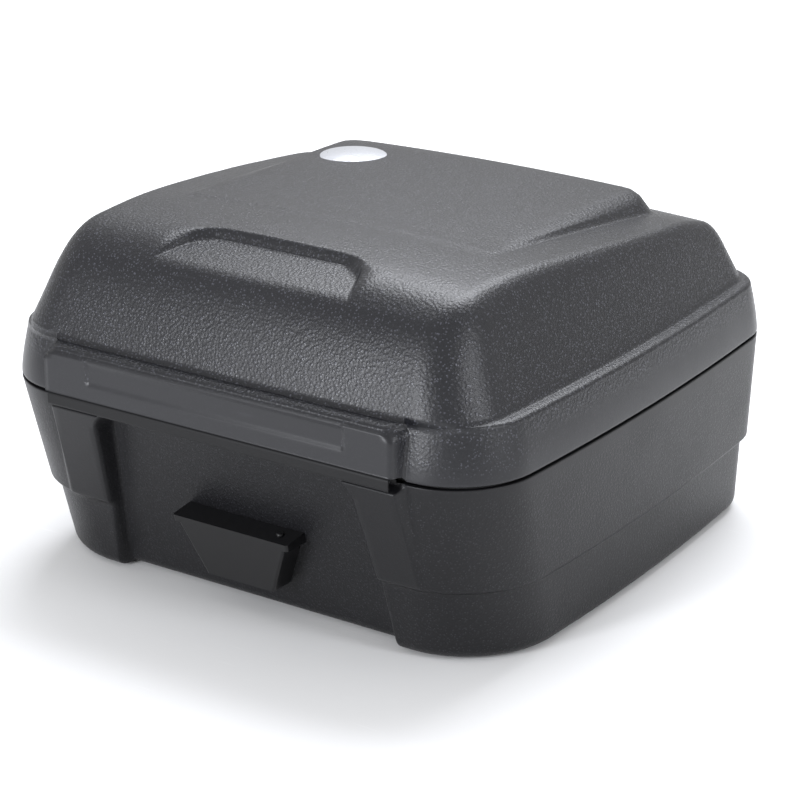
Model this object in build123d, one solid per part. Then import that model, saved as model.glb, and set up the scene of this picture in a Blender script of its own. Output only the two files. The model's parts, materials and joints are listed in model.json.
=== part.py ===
from build123d import *
import os
from math import asin, atan, cos, degrees, radians, sin

# Hard luggage case carried behind the seat of a scooter.
# X runs across, -Y is the hinge side, +Y the lock side, +Z is up.
# The origin is on the surface that the case stands on, in the middle of its overall box.
# Lengths are in millimetres.

# ---- Overall sizes ----
CASE_WIDTH = 420.0          # widest point, at the seam
CASE_DEPTH = 414.0          # hinge side to lock side at the seam, without hinge and lock
RIM_Z = 138.0               # top of the tub's rim
SEAM_GAP = 2.0              # between the tub's rim and the lid's lower edge
CASE_HEIGHT = 256.0         # top of the lid's plateau
WALL = 3.5                  # moulded wall of tub and lid
FRONT_CORNER = 54.0         # vertical corners of the hinge side, at the seam
REAR_CORNER = 42.0          # and of the lock side
FRONT_CORNER_GROWTH = 0.09  # the tub's front corners grow rounder per mm below its rim
SIDE_CROWN = 9.0            # bow of the long sides
END_CROWN = 3.0             # bow of the hinge side and the lock side

# ---- Tub ----
PAD_PROUD = 1.5             # rubber pads below the moulded floor
FLOOR = 4.0                 # moulded floor
STEP_Z = 57.0               # middle of the step all round
STEP_HEIGHT = 6.0           # the step slopes over this height
STEP_DEPTH = 3.6            # upper band stands this far proud
SIDE_DRAFT = 0.04           # inward lean of the side walls per mm of height
FRONT_LEAN = 0.217          # lean of the hinge-side wall
REAR_DRAFT = 0.026          # lean of the lock-side wall
BASE_ROUND = 8.0           # rounding along the bottom edge
RIM_WIDTH = 8.0             # thickened rim
RIM_DEPTH = 5.5

# ---- Recess and pilasters on the hinge side ----
RECESS_DEPTH = 11.5         # behind the hinge-side wall, at the rim
RECESS_LEAN = 0.2455
RECESS_HALF_TOP = 103.0
RECESS_HALF_BOTTOM = 117.0
RECESS_CORNER = 14.0
PILASTER_WIDTH = 40.0
PILASTER_FLARE = 5.0        # its outer edge moves out this much towards the foot
PILASTER_INNER_FLARE = 4.0  # and its inner edge beyond the recess
PILASTER_PROUD = 6.4        # beyond the hinge-side wall, at the rim
PILASTER_LEAN = 0.308
PILASTER_FOOT_Z = 53.0
PILASTER_CHAMFER = 9.0      # height of its sloping lower end
PILASTER_CHAMFER_DEPTH = 12.0

# ---- Hinge ----
HINGE_OFFSET = 4.0          # axis in front of the seam's front edge
BEAD_HALF = 5.0             # half the height of the hinge channel
BEAD_WALL = 1.1
BEAD_CORNER = 2.5
BEAD_HALF_LENGTH = 140.0
BARREL_HALF_LENGTH = 131.0
ROD_RADIUS = 2.0
RUNNING_CLEARANCE = 0.05
SWING_CLEARANCE = 0.7       # between turning and fixed pieces at the hinge
LEAF_THICKNESS = 1.5
LEAF_REACH = 16.0           # from the axis into the case
CHANNEL_FLANGE = 22.0       # height of the channel's flange inside the lid
CHANNEL_FLANGE_THICKNESS = 2.0
LID_OPENING = 95.0          # degrees
STOP_MARGIN = 1.5           # degrees between the channel's slot and the leaf at full opening
HINGE_RIVETS = 7
RIVET_RADIUS = 2.0
RIVET_HEAD_RADIUS = 3.6
RIVET_HEAD_HEIGHT = 1.3

# ---- Lid ----
BAND_TOP_Z = 174.0          # top of the plain band
BAND_DRAFT = 6.0            # band's inward lean from seam to top
LEDGE_RISE = 4.0
LEDGE_WIDTH = 8.0           # from the band's top edge to the foot of the dome
PANEL_HALF_WIDTH = 145.0    # flat hinge panel
PANEL_TOP_Z = 176.0
PANEL_CORNER = 8.0
PANEL_POCKET = 1.5          # shallow pocket in the hinge panel
PANEL_POCKET_HALF = 106.0
PANEL_POCKET_FOOT = 156.0
DOME_LEAN = 0.42            # side walls of the dome
DOME_FRONT_LEAN = 0.30
DOME_ROUND = 16.0
FRONT_BEND_Y = 24.0         # middle of the bowed front slope, behind the front of the seam
FRONT_BEND_Z = 229.0
REAR_SLOPE_DROP = 34.0
SHOULDER_MID_Z = 246.5      # dome's top beside the plateau
SHOULDER_REAR_Z = 233.0
CREST_FROM_FRONT = 77.0     # crest behind the front of the seam
PLATEAU_HALF_FRONT = 125.0
PLATEAU_HALF_REAR = 136.0
PLATEAU_FROM_REAR = 73.0    # plateau's rear edge ahead of the seam's rear edge
PLATEAU_FALL = 8.0          # plateau's fall towards the lock side
PLATEAU_CORNER = 24.0
PLATEAU_ROUND = 4.0         # rounding of its upper edge
SCOOP_HALF_REAR = 66.0
SCOOP_HALF_FRONT = 96.0
SCOOP_DEPTH = 7.0
SCOOP_REACH = 75.0
SCOOP_FALL = 8.0
SCOOP_CORNER = 9.0

# ---- Seal ----
SEAL_WIDTH = 4.0
SEAL_GAP = 0.4              # above the tub's rim when the lid is shut
SEAL_SIDE_GAP = 0.8         # beside the lid's leaning wall
RIB_WIDTH = 2.0
RING_THICKNESS = 3.0
RING_Z = 143.0              # underside of the lid's inner ring

# ---- Badge ----
BADGE_RADIUS = 25.0
BADGE_X = -90.0
BADGE_FROM_REAR = 128.0
BADGE_EDGE = 1.6
BADGE_DOME = 2.4
BADGE_POCKET = 0.6
BADGE_CLEARANCE = 0.3

# ---- Centring wedge ----
WEDGE_TOP_Z = 69.0
WEDGE_FOOT_Z = 26.0
WEDGE_HALF_TOP = 48.0
WEDGE_HALF_FOOT = 28.0
WEDGE_DEPTH = 20.0
WEDGE_LIP = 5.0
WEDGE_LIP_PROUD = 1.5
WEDGE_RISE = 2.4
WEDGE_ROUND = 2.0
WEDGE_STUD_X = 35.0
WEDGE_STUD_RADIUS = 3.0
WEDGE_SCREW_X = 16.0
SCREW_RADIUS = 2.5
SCREW_HEAD_RADIUS = 5.0
SCREW_HEAD_HEIGHT = 2.6
SCREW_SLOT_WIDTH = 1.2

# ---- Floor ----
BOLT_SPACING_X = 120.0
BOLT_SPACING_Y = 160.0
BOLT_HOLE_RADIUS = 3.3
BOLT_CENTRE_Y = 12.0
PLATE_MARGIN = 22.0         # plate beyond the bolt holes
PLATE_THICKNESS = 2.0
MAT_THICKNESS = 2.5
MAT_MARGIN = 4.0            # mat's edge inside the tub's inner wall
MAT_HOLE_RADIUS = 13.0
PAD_RADIUS = 16.0
PAD_SPACING_X = 250.0
PAD_SPACING_Y = 230.0
PAD_RECESS = 1.5

# ---- Lock ----
LOCK_Z = 116.0
LOCK_PROUD = 9.0            # lock's face beyond the seam's rear edge
LOCK_HEAD = 3.0
LOCK_HEAD_RADIUS = 12.0
LOCK_BODY_RADIUS = 9.5
LOCK_PLUG_RADIUS = 6.0
LOCK_BODY_LENGTH = 28.0
LOCK_NUT_THICKNESS = 5.0
LOCK_NUT_SIZE = 26.0        # across flats
CAM_THICKNESS = 3.0
CAM_WIDTH = 9.0
CAM_REACH = 26.0
CAM_GAP = 0.6
KEY_SLOT_WIDTH = 2.4
KEY_SLOT_HEIGHT = 8.0
KEY_SLOT_DEPTH = 18.0
HOUSING_HALF_WIDTH = 46.0
HOUSING_HEIGHT = 46.0
HOUSING_CORNER = 8.7
HOUSING_NARROWING = 0.78    # width at its foot over width at its top
HOUSING_BELOW_LOCK = 0.62   # share of its height below the lock's axis
HOUSING_EDGE_ROUND = 2.5
SEAT_DEPTH = 1.5            # flat seat for nut and screws inside the wall
STRIKER_X = 21.0
STRIKER_WIDTH = 18.0
STRIKER_THICKNESS = 2.5
STRIKER_PLAY = 1.2          # between tongue and striker
STRIKER_TOP_Z = 166.0
STRIKER_BOSS_MARGIN = 4.0
REFLECTOR_WIDTH = 84.0
REFLECTOR_HEIGHT = 24.0
REFLECTOR_PROUD = 3.0
REFLECTOR_GAP = 12.0        # from the lock's surround
REFLECTOR_RECESS = 1.2

# ---- Places worked out from the sizes above ----
FRONT = -CASE_DEPTH / 2
REAR = CASE_DEPTH / 2
HALF_WIDTH = CASE_WIDTH / 2
BASE_Z = PAD_PROUD
LID_Z = RIM_Z + SEAM_GAP
AXIS_Y = FRONT - HINGE_OFFSET
AXIS_Z = RIM_Z + SEAM_GAP / 2
BEAD_INNER = BEAD_HALF - BEAD_WALL
BARREL_RADIUS = BEAD_INNER - RUNNING_CLEARANCE
STEP_TOP = STEP_Z + STEP_HEIGHT / 2
STEP_BOTTOM = STEP_Z - STEP_HEIGHT / 2
FLOOR_TOP = BASE_Z + FLOOR
PANEL_FRONT = AXIS_Y - BEAD_HALF
RECESS_TOP = RIM_Z - LEAF_THICKNESS - WALL
LOCK_FACE = REAR + LOCK_PROUD
CREST_Y = FRONT + CREST_FROM_FRONT
PLATEAU_REAR = REAR - PLATEAU_FROM_REAR
BADGE_Y = REAR - BADGE_FROM_REAR
DOME_FOOT_Z = BAND_TOP_Z + LEDGE_RISE
DOME_INSET = BAND_DRAFT + LEDGE_WIDTH
FAR = 2 * CASE_WIDTH


def outline(z, side, front, rear, tighter=0.0, rounder_front=0.0):
    """Crowned rounded rectangle at height z, drawn in from the seam by side, front and rear.
    Its corners are tighter by one amount, and those of the hinge side rounder by another."""
    half = HALF_WIDTH - side
    low = FRONT + front
    high = REAR - rear
    middle = (low + high) / 2
    with BuildSketch(Plane.XY.offset(z)) as sketch:
        with BuildLine():
            ThreePointArc((half - SIDE_CROWN, low + END_CROWN), (half, middle),
                          (half - SIDE_CROWN, high - END_CROWN))
            ThreePointArc((half - SIDE_CROWN, high - END_CROWN), (0, high),
                          (SIDE_CROWN - half, high - END_CROWN))
            ThreePointArc((SIDE_CROWN - half, high - END_CROWN), (-half, middle),
                          (SIDE_CROWN - half, low + END_CROWN))
            ThreePointArc((SIDE_CROWN - half, low + END_CROWN), (0, low),
                          (half - SIDE_CROWN, low + END_CROWN))
        make_face()
        fillet(sketch.vertices().group_by(Axis.Y)[0], FRONT_CORNER - tighter + rounder_front)
        fillet(sketch.vertices().group_by(Axis.Y)[-1], REAR_CORNER - tighter)
    return sketch.sketch.face()


def tub_outline(z, inset=0.0):
    """Tub's outside at height z, with the step's depth below the step, drawn in by inset."""
    below = RIM_Z - z
    step = STEP_DEPTH if z < STEP_Z else 0.0
    return outline(z, SIDE_DRAFT * below + step + inset, FRONT_LEAN * below + step + inset,
                   REAR_DRAFT * below + step + inset, inset, FRONT_CORNER_GROWTH * below)


def ring(z, height, outer_inset, inner_inset):
    """Flat ring that follows the seam, between two insets."""
    outer = extrude(outline(z, outer_inset, outer_inset, outer_inset, outer_inset), height, dir=(0, 0, 1))
    inner = extrude(outline(z, inner_inset, inner_inset, inner_inset, inner_inset), height, dir=(0, 0, 1))
    return outer - inner


def prism_x(points, half_length):
    """Solid with an outline of (y, z) points, from -half_length to half_length along X."""
    face = make_face(Polyline(*[(0, y, z) for y, z in points], close=True))
    return extrude(face, half_length, dir=(1, 0, 0), both=True)


def prism_y(points, start, end):
    """Solid with an outline of (x, z) points, from start to end along Y."""
    face = make_face(Polyline(*[(x, start, z) for x, z in points], close=True))
    return extrude(face, end - start, dir=(0, 1, 0))


def box_between(low, high):
    """Box between its lowest and highest corners."""
    size = [high[i] - low[i] for i in range(3)]
    return Pos(*low) * Box(*size, align=(Align.MIN, Align.MIN, Align.MIN))


def rod_x(radius, half_length, y=AXIS_Y, z=AXIS_Z):
    """Round bar along X."""
    return Pos(0, y, z) * (Rot(0, 90, 0) * Cylinder(radius, 2 * half_length))


def rod_y(radius, start, end, x=0.0, z=LOCK_Z):
    """Round bar along Y."""
    return Pos(x, (start + end) / 2, z) * (Rot(90, 0, 0) * Cylinder(radius, end - start))


def recess_wall_y(z):
    """Outside of the recessed panel at height z."""
    return FRONT + RECESS_DEPTH + RECESS_LEAN * (RIM_Z - z)


def recess_form(inset=0.0):
    """Space in front of the recessed panel; with an inset it also holds the panel's wall."""
    top = RECESS_TOP + inset
    low = BASE_Z - WALL
    wall = [(AXIS_Y - FAR, top), (recess_wall_y(top) + inset, top),
            (recess_wall_y(low) + inset, low), (AXIS_Y - FAR, low)]
    half_top = RECESS_HALF_TOP + inset
    half_low = RECESS_HALF_BOTTOM + inset
    shape = prism_y([(-half_top, top), (half_top, top), (half_low, low), (-half_low, low)],
                    FRONT - HALF_WIDTH, REAR)
    corners = shape.edges().filter_by(Axis.Y).group_by(Axis.Z)[-1]
    shape = fillet(corners, RECESS_CORNER + inset)
    return shape & prism_x(wall, FAR)


def pilasters():
    """Two proud strips beside the recess, with sloping lower ends."""
    def face_y(z):
        return FRONT - PILASTER_PROUD + PILASTER_LEAN * (RIM_Z - z)

    foot = PILASTER_FOOT_Z
    knee = foot + PILASTER_CHAMFER
    inside = FRONT + FRONT_LEAN * RIM_Z + WALL
    side_view = [(face_y(RIM_Z), RIM_Z), (inside, RIM_Z), (inside, foot),
                 (face_y(knee) + PILASTER_CHAMFER_DEPTH, foot), (face_y(knee), knee)]
    slab = prism_x(side_view, FAR)
    inner_top = RECESS_HALF_TOP
    inner_low = RECESS_HALF_BOTTOM + PILASTER_INNER_FLARE
    outer_top = RECESS_HALF_TOP + PILASTER_WIDTH
    outer_low = outer_top + PILASTER_FLARE
    right = prism_y([(inner_top, RIM_Z), (outer_top, RIM_Z), (outer_low, foot), (inner_low, foot)],
                    FRONT - HALF_WIDTH, inside)
    right = right & slab
    return right + mirror(right, about=Plane.YZ)


def hinge_space():
    """Room that the turning channel and the lid's panel need in the tub."""
    corner = (BEAD_HALF - BEAD_CORNER) * 2 ** 0.5 + BEAD_CORNER
    return rod_x(corner + SWING_CLEARANCE, PANEL_HALF_WIDTH + SWING_CLEARANCE)


def tub_outside():
    """Tub's outer form, closed."""
    sections = [tub_outline(z) for z in (BASE_Z, STEP_BOTTOM, STEP_TOP, RIM_Z)]
    form = loft(sections, ruled=True)
    form = form + pilasters()
    form = form - recess_form()
    bottom = form.edges().group_by(Axis.Z)[0]
    return fillet(bottom, BASE_ROUND)


def tub_inside():
    """Luggage space of the tub, up to the rim."""
    shoulder = RIM_Z - RIM_DEPTH
    flare = shoulder - (RIM_WIDTH - WALL)
    lower = loft([tub_outline(FLOOR_TOP, WALL), tub_outline(STEP_BOTTOM, WALL),
                  tub_outline(STEP_TOP, WALL), tub_outline(flare, WALL),
                  tub_outline(shoulder, RIM_WIDTH), tub_outline(RIM_Z, RIM_WIDTH)], ruled=True)
    return lower - recess_form(WALL)


def lid_band(inset=0.0, start=LID_Z):
    """Plain band of the lid, its ledge and nothing above."""
    return loft([outline(start, inset, inset, inset, inset),
                 outline(BAND_TOP_Z, BAND_DRAFT + inset, BAND_DRAFT + inset, BAND_DRAFT + inset,
                         BAND_DRAFT + inset),
                 outline(DOME_FOOT_Z, DOME_INSET + inset, inset + LEDGE_WIDTH / 2, DOME_INSET + inset,
                         DOME_INSET + inset)], ruled=True)


def dome(inset=0.0):
    """Leaning walls of the lid under its bowed top, closed below at the ledge."""
    foot = DOME_FOOT_Z
    top = CASE_HEIGHT + 1.0

    def level(z):
        up = z - foot
        return outline(z, DOME_INSET + inset + DOME_LEAN * up,
                       LEDGE_WIDTH / 2 + inset + DOME_FRONT_LEAN * up,
                       DOME_INSET + inset + DOME_LEAN * up, DOME_INSET + inset)

    walls = loft([level(foot), level(top)], ruled=True)
    crest = (CREST_Y, CASE_HEIGHT - inset)
    shoulder_end = (PLATEAU_REAR, SHOULDER_REAR_Z - inset)
    middle = ((CREST_Y + PLATEAU_REAR) / 2, SHOULDER_MID_Z - inset)
    front = (FRONT + inset, foot)
    bend = (FRONT + FRONT_BEND_Y + inset, FRONT_BEND_Z - inset)
    rear = (REAR, SHOULDER_REAR_Z - REAR_SLOPE_DROP - inset)
    with BuildSketch(Plane.YZ) as side_view:
        with BuildLine():
            ThreePointArc(front, bend, crest)
            ThreePointArc(crest, middle, shoulder_end)
            Line(shoulder_end, rear)
            Line(rear, (REAR, foot))
            Line((REAR, foot), front)
        make_face()
    return walls & extrude(side_view.sketch, FAR, dir=(1, 0, 0), both=True)


def dome_rounded():
    """Outside of the dome, with its upper edges rounded."""
    form = dome()
    upper = [edge for edge in form.edges() if edge.center().Z > DOME_FOOT_Z + 1.0
             and not edge.is_closed and edge.bounding_box().size.Z < 0.8 * edge.length]
    return fillet(upper, DOME_ROUND)


def plateau_z(y):
    """Height of the plateau's top."""
    return CASE_HEIGHT - PLATEAU_FALL * (y - CREST_Y) / (PLATEAU_REAR - CREST_Y)


def plateau(inset=0.0):
    """Raised middle of the lid, level near the hinge side and proud towards the lock side."""
    low = SHOULDER_REAR_Z - 20.0 - inset
    with BuildSketch(Plane.XY.offset(low)) as plan:
        with BuildLine():
            Polyline((inset - PLATEAU_HALF_FRONT, CREST_Y), (PLATEAU_HALF_FRONT - inset, CREST_Y),
                     (PLATEAU_HALF_REAR - inset, PLATEAU_REAR - inset),
                     (inset - PLATEAU_HALF_REAR, PLATEAU_REAR - inset), close=True)
        make_face()
        fillet(plan.vertices().group_by(Axis.Y)[-1], PLATEAU_CORNER)
    block = extrude(plan.sketch, CASE_HEIGHT - low, dir=(0, 0, 1))
    top = prism_x([(CREST_Y - 1.0, low), (REAR, low), (REAR, plateau_z(REAR) - inset),
                   (CREST_Y - 1.0, plateau_z(CREST_Y - 1.0) - inset)], FAR)
    block = block & top
    if inset > 0.0:
        return block
    upper = block.faces().sort_by(Axis.Z)[-1].edges()
    return fillet(upper.sort_by(Axis.Y)[1:], PLATEAU_ROUND)


def scoop(inset=0.0):
    """Shallow scoop at the front of the plateau, open towards the hinge side."""
    rear_y = CREST_Y + inset
    front_y = CREST_Y - SCOOP_REACH
    floor_rear = CASE_HEIGHT - SCOOP_DEPTH - inset
    floor_front = floor_rear - SCOOP_FALL
    with BuildSketch(Plane.XY.offset(floor_front - 1.0)) as plan:
        with BuildLine():
            Polyline((-SCOOP_HALF_REAR - inset, rear_y), (SCOOP_HALF_REAR + inset, rear_y),
                     (SCOOP_HALF_FRONT + inset, front_y), (-SCOOP_HALF_FRONT - inset, front_y),
                     close=True)
        make_face()
        fillet(plan.vertices().group_by(Axis.Y)[-1], SCOOP_CORNER)
    block = extrude(plan.sketch, CASE_HEIGHT + FLOOR - floor_front, dir=(0, 0, 1))
    above = prism_x([(rear_y, floor_rear), (rear_y, CASE_HEIGHT + FLOOR),
                     (front_y, CASE_HEIGHT + FLOOR), (front_y, floor_front)], FAR)
    return block & above


def hinge_panel(inset=0.0):
    """Flat panel above the hinge channel, with rounded upper corners."""
    half = PANEL_HALF_WIDTH - inset
    low = AXIS_Z + BEAD_HALF if inset == 0.0 else LID_Z
    high = PANEL_TOP_Z - inset
    shape = prism_y([(-half, low), (half, low), (half, high), (-half, high)],
                    PANEL_FRONT + inset, FRONT + WALL + RIM_WIDTH)
    return fillet(shape.edges().filter_by(Axis.Y).group_by(Axis.Z)[-1], PANEL_CORNER - inset)


def lid_outside():
    """Lid's outer form, closed below."""
    pocket = box_between((-PANEL_POCKET_HALF, PANEL_FRONT - 1.0, PANEL_POCKET_FOOT),
                         (PANEL_POCKET_HALF, PANEL_FRONT + PANEL_POCKET, PANEL_TOP_Z + 1.0))
    form = lid_band() + dome_rounded() + plateau() + hinge_panel()
    badge_pocket = Pos(BADGE_X, BADGE_Y, BADGE_Z) * Cylinder(
        BADGE_RADIUS + BADGE_CLEARANCE, CASE_HEIGHT, align=(Align.CENTER, Align.CENTER, Align.MIN))
    return form - scoop() - pocket - badge_pocket


def lid_inside():
    """Hollow of the lid."""
    space = lid_band(WALL) + dome(WALL) + plateau(WALL) + hinge_panel(WALL)
    return space - scoop(WALL)


def lid_shell():
    """Lid's moulding with its inner ring, rib, striker boss and room for the hinge channel."""
    shell = lid_outside() - lid_inside()
    panel_floor = box_between((WALL - PANEL_HALF_WIDTH, PANEL_FRONT + WALL, RING_Z),
                              (PANEL_HALF_WIDTH - WALL, FRONT + RIM_WIDTH, RING_Z + RING_THICKNESS))
    rib_outer = WALL + SEAL_WIDTH
    shell = shell + ring(RING_Z, RING_THICKNESS, WALL / 2, rib_outer + RIB_WIDTH)
    shell = shell + ring(LID_Z, RING_Z - LID_Z, rib_outer, rib_outer + RIB_WIDTH)
    shell = shell + panel_floor
    half_boss = STRIKER_WIDTH / 2 + STRIKER_BOSS_MARGIN
    boss = box_between((STRIKER_X - half_boss, STRIKER_Y + STRIKER_THICKNESS, RING_Z),
                       (STRIKER_X + half_boss, REAR - WALL - BAND_DRAFT / 2, STRIKER_TOP_Z))
    shell = shell + boss
    channel_room = rod_x(BEAD_HALF + SWING_CLEARANCE, BEAD_HALF_LENGTH + SWING_CLEARANCE)
    below_panel = box_between((-PANEL_HALF_WIDTH - FAR, PANEL_FRONT - 1.0, 0.0),
                              (PANEL_HALF_WIDTH + FAR, FRONT - SWING_CLEARANCE, AXIS_Z + BEAD_HALF))
    shell = shell - channel_room - below_panel - channel_flange()
    for x in hinge_rivet_places():
        shell = shell - rod_y(RIVET_RADIUS, PANEL_FRONT + PANEL_POCKET / 2, AXIS_Y, x, CHANNEL_RIVET_Z)
    for z in STRIKER_SCREW_PLACES:
        shell = shell - striker_screw(z)
    return shell


def hinge_rivet_places():
    """Evenly spaced places along the hinge."""
    pitch = 2 * (BARREL_HALF_LENGTH - 2 * RIVET_HEAD_RADIUS - LEAF_REACH / 2) / (HINGE_RIVETS - 1)
    return [pitch * (i - (HINGE_RIVETS - 1) / 2) for i in range(HINGE_RIVETS)]


def channel_flange():
    """Channel's flange against the inside of the lid's hinge panel."""
    return box_between((-BARREL_HALF_LENGTH, PANEL_FRONT + WALL, AXIS_Z + BEAD_INNER),
                       (BARREL_HALF_LENGTH, PANEL_FRONT + WALL + CHANNEL_FLANGE_THICKNESS,
                        AXIS_Z + BEAD_HALF + CHANNEL_FLANGE))


def hinge_channel():
    """Rolled channel round the leaf's barrel, open below where the leaf passes."""
    half = BEAD_HALF
    front_face = box_between((-BEAD_HALF_LENGTH, AXIS_Y - half, AXIS_Z - half),
                             (BEAD_HALF_LENGTH, AXIS_Y, AXIS_Z + half))
    corners = front_face.edges().filter_by(Axis.X).group_by(Axis.Y)[0]
    shape = fillet(corners, BEAD_CORNER) + rod_x(half, BEAD_HALF_LENGTH) + channel_flange()
    shape = shape - rod_x(BEAD_INNER, BEAD_HALF_LENGTH + 1.0)
    leaf_low = degrees(asin((AXIS_Z - RIM_Z + LEAF_THICKNESS) / BARREL_RADIUS))
    slot_start = -degrees(asin((AXIS_Z - RIM_Z) / BEAD_HALF)) + 2 * STOP_MARGIN
    slot_end = -leaf_low - LID_OPENING - 2 * STOP_MARGIN
    reach = 3 * BEAD_HALF
    angles = [slot_start + (slot_end - slot_start) * i / 4 for i in range(5)]
    fan = [(AXIS_Y, AXIS_Z)]
    fan += [(AXIS_Y + reach * cos(radians(a)), AXIS_Z + reach * sin(radians(a))) for a in angles]
    shape = shape - prism_x(fan, FAR)
    for x in hinge_rivet_places():
        shape = shape - rod_y(RIVET_RADIUS, PANEL_FRONT, AXIS_Y + BEAD_HALF, x, CHANNEL_RIVET_Z)
    return shape


def channel_rivets():
    """Rivets that hold the channel's flange to the hinge panel."""
    flange_back = PANEL_FRONT + WALL + CHANNEL_FLANGE_THICKNESS
    rivets = []
    for x in hinge_rivet_places():
        shank = rod_y(RIVET_RADIUS, PANEL_FRONT + PANEL_POCKET / 2, flange_back, x, CHANNEL_RIVET_Z)
        head = rod_y(RIVET_HEAD_RADIUS, flange_back, flange_back + RIVET_HEAD_HEIGHT, x, CHANNEL_RIVET_Z)
        head = fillet(head.edges().group_by(Axis.Y)[-1], RIVET_HEAD_HEIGHT * 0.6)
        rivets.append(shank + head)
    return Compound(children=[rivet.solid() for rivet in rivets])


def hinge_leaf():
    """Strip let into the tub's rim, with a continuous barrel round the rod."""
    barrel = rod_x(BARREL_RADIUS, BARREL_HALF_LENGTH)
    strip = box_between((-BARREL_HALF_LENGTH, AXIS_Y, RIM_Z - LEAF_THICKNESS),
                        (BARREL_HALF_LENGTH, AXIS_Y + LEAF_REACH, RIM_Z))
    shape = barrel + strip - rod_x(ROD_RADIUS, FAR)
    for x in hinge_rivet_places():
        shape = shape - leaf_rivet(x)
    return shape


def leaf_rivet(x):
    """Rivet with its countersunk head level with the rim and a domed head below the shelf."""
    y = AXIS_Y + LEAF_REACH - 2 * RIVET_HEAD_RADIUS + RIVET_RADIUS
    shank_low = RECESS_TOP - RIVET_HEAD_HEIGHT
    shank = Pos(x, y, shank_low) * Cylinder(
        RIVET_RADIUS, RIM_Z - shank_low, align=(Align.CENTER, Align.CENTER, Align.MIN))
    sink = Pos(x, y, RIM_Z - LEAF_THICKNESS) * Cone(
        RIVET_RADIUS, RIVET_HEAD_RADIUS, LEAF_THICKNESS, align=(Align.CENTER, Align.CENTER, Align.MIN))
    head = Pos(x, y, shank_low) * Cylinder(
        RIVET_HEAD_RADIUS, RIVET_HEAD_HEIGHT, align=(Align.CENTER, Align.CENTER, Align.MIN))
    head = fillet(head.edges().group_by(Axis.Z)[0], RIVET_HEAD_HEIGHT * 0.6)
    return shank + sink + head


def wall_plane(x, z):
    """Plane on the outside of the recessed panel, with its normal pointing out of the case."""
    lean = atan(RECESS_LEAN)
    return Plane(origin=(x, recess_wall_y(z), z), x_dir=(1, 0, 0), z_dir=(0, -cos(lean), -sin(lean)))


def wedge_screw(x):
    """Screw from inside the tub, through its wall and into the wedge."""
    plane = wall_plane(x, WEDGE_SCREW_Z)
    shank_length = WALL + WEDGE_DEPTH * 0.6
    shank = plane * (Pos(0, 0, -WALL) * Cylinder(
        SCREW_RADIUS, shank_length, align=(Align.CENTER, Align.CENTER, Align.MIN)))
    head = Cylinder(SCREW_HEAD_RADIUS, SCREW_HEAD_HEIGHT, align=(Align.CENTER, Align.CENTER, Align.MAX))
    head = fillet(head.edges().group_by(Axis.Z)[0], SCREW_HEAD_HEIGHT * 0.4)
    socket = Pos(0, 0, -SCREW_HEAD_HEIGHT) * extrude(
        RegularPolygon(SCREW_HEAD_RADIUS * 0.5, 6), SCREW_HEAD_HEIGHT * 0.6)
    return shank + plane * (Pos(0, 0, -WALL) * (head - socket))


def wedge_bracket():
    """Tapered block with a wider lip along its top, shaped to the recessed panel behind."""
    front_top = recess_wall_y(WEDGE_TOP_Z) - WEDGE_DEPTH
    front_foot = recess_wall_y(WEDGE_FOOT_Z) - WEDGE_DEPTH
    back = recess_wall_y(0.0)
    lip_z = WEDGE_TOP_Z - WEDGE_LIP
    slope = (front_foot - front_top) / (WEDGE_TOP_Z - WEDGE_FOOT_Z)
    back_rise = WEDGE_TOP_Z + WEDGE_RISE * (back - front_top) / WEDGE_DEPTH
    body = prism_x([(front_top, WEDGE_TOP_Z), (back, back_rise), (back, WEDGE_FOOT_Z),
                    (front_foot, WEDGE_FOOT_Z)], FAR)
    half_lip = WEDGE_HALF_TOP
    half_top = WEDGE_HALF_TOP - WEDGE_LIP_PROUD
    taper = prism_y([(-half_top, WEDGE_TOP_Z), (half_top, WEDGE_TOP_Z),
                     (WEDGE_HALF_FOOT, WEDGE_FOOT_Z), (-WEDGE_HALF_FOOT, WEDGE_FOOT_Z)],
                    front_top - WALL, back)
    block = body & taper
    upright = block.edges().filter_by(
        lambda edge: edge.center().Y < front_foot and abs(edge.center().X) > WEDGE_HALF_FOOT)
    block = fillet(upright, WEDGE_ROUND)
    lip_front = front_top - WEDGE_LIP_PROUD / 2
    lip = prism_x([(lip_front, WEDGE_TOP_Z), (back, back_rise),
                   (back, lip_z), (lip_front + slope * WEDGE_LIP, lip_z)], half_lip)
    lip = fillet(lip.edges().filter_by(Axis.Z, tolerance=20).group_by(Axis.Y)[0], WEDGE_ROUND)
    upper = prism_y([(-FAR, lip_z), (FAR, lip_z), (FAR, CASE_HEIGHT), (-FAR, CASE_HEIGHT)],
                    front_top - FAR, back)
    shape = (block + (lip & upper)) & recess_form()
    stud = wedge_stud()
    for x in (-WEDGE_SCREW_X, WEDGE_SCREW_X):
        shape = shape - wedge_screw(x)
    return shape - stud


def wedge_stud():
    """Domed stud pressed into the wedge's top."""
    y = recess_wall_y(WEDGE_TOP_Z) - WEDGE_DEPTH / 2
    sink = WEDGE_STUD_RADIUS * 2
    post = Pos(WEDGE_STUD_X, y, WEDGE_TOP_Z - sink) * Cylinder(
        WEDGE_STUD_RADIUS * 0.6, sink + WEDGE_RISE, align=(Align.CENTER, Align.CENTER, Align.MIN))
    cap = Pos(WEDGE_STUD_X, y, WEDGE_TOP_Z + WEDGE_RISE * 0.5 - 0.4) * Cylinder(
        WEDGE_STUD_RADIUS, WEDGE_STUD_RADIUS * 0.6 + 0.4, align=(Align.CENTER, Align.CENTER, Align.MIN))
    cap = fillet(cap.edges().group_by(Axis.Z)[-1], WEDGE_STUD_RADIUS * 0.5)
    return post + cap


def bolt_places(spacing_x, spacing_y, centre_y):
    """Four corners of a rectangle."""
    return [(sx * spacing_x / 2, centre_y + sy * spacing_y / 2) for sx in (-1, 1) for sy in (-1, 1)]


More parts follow.
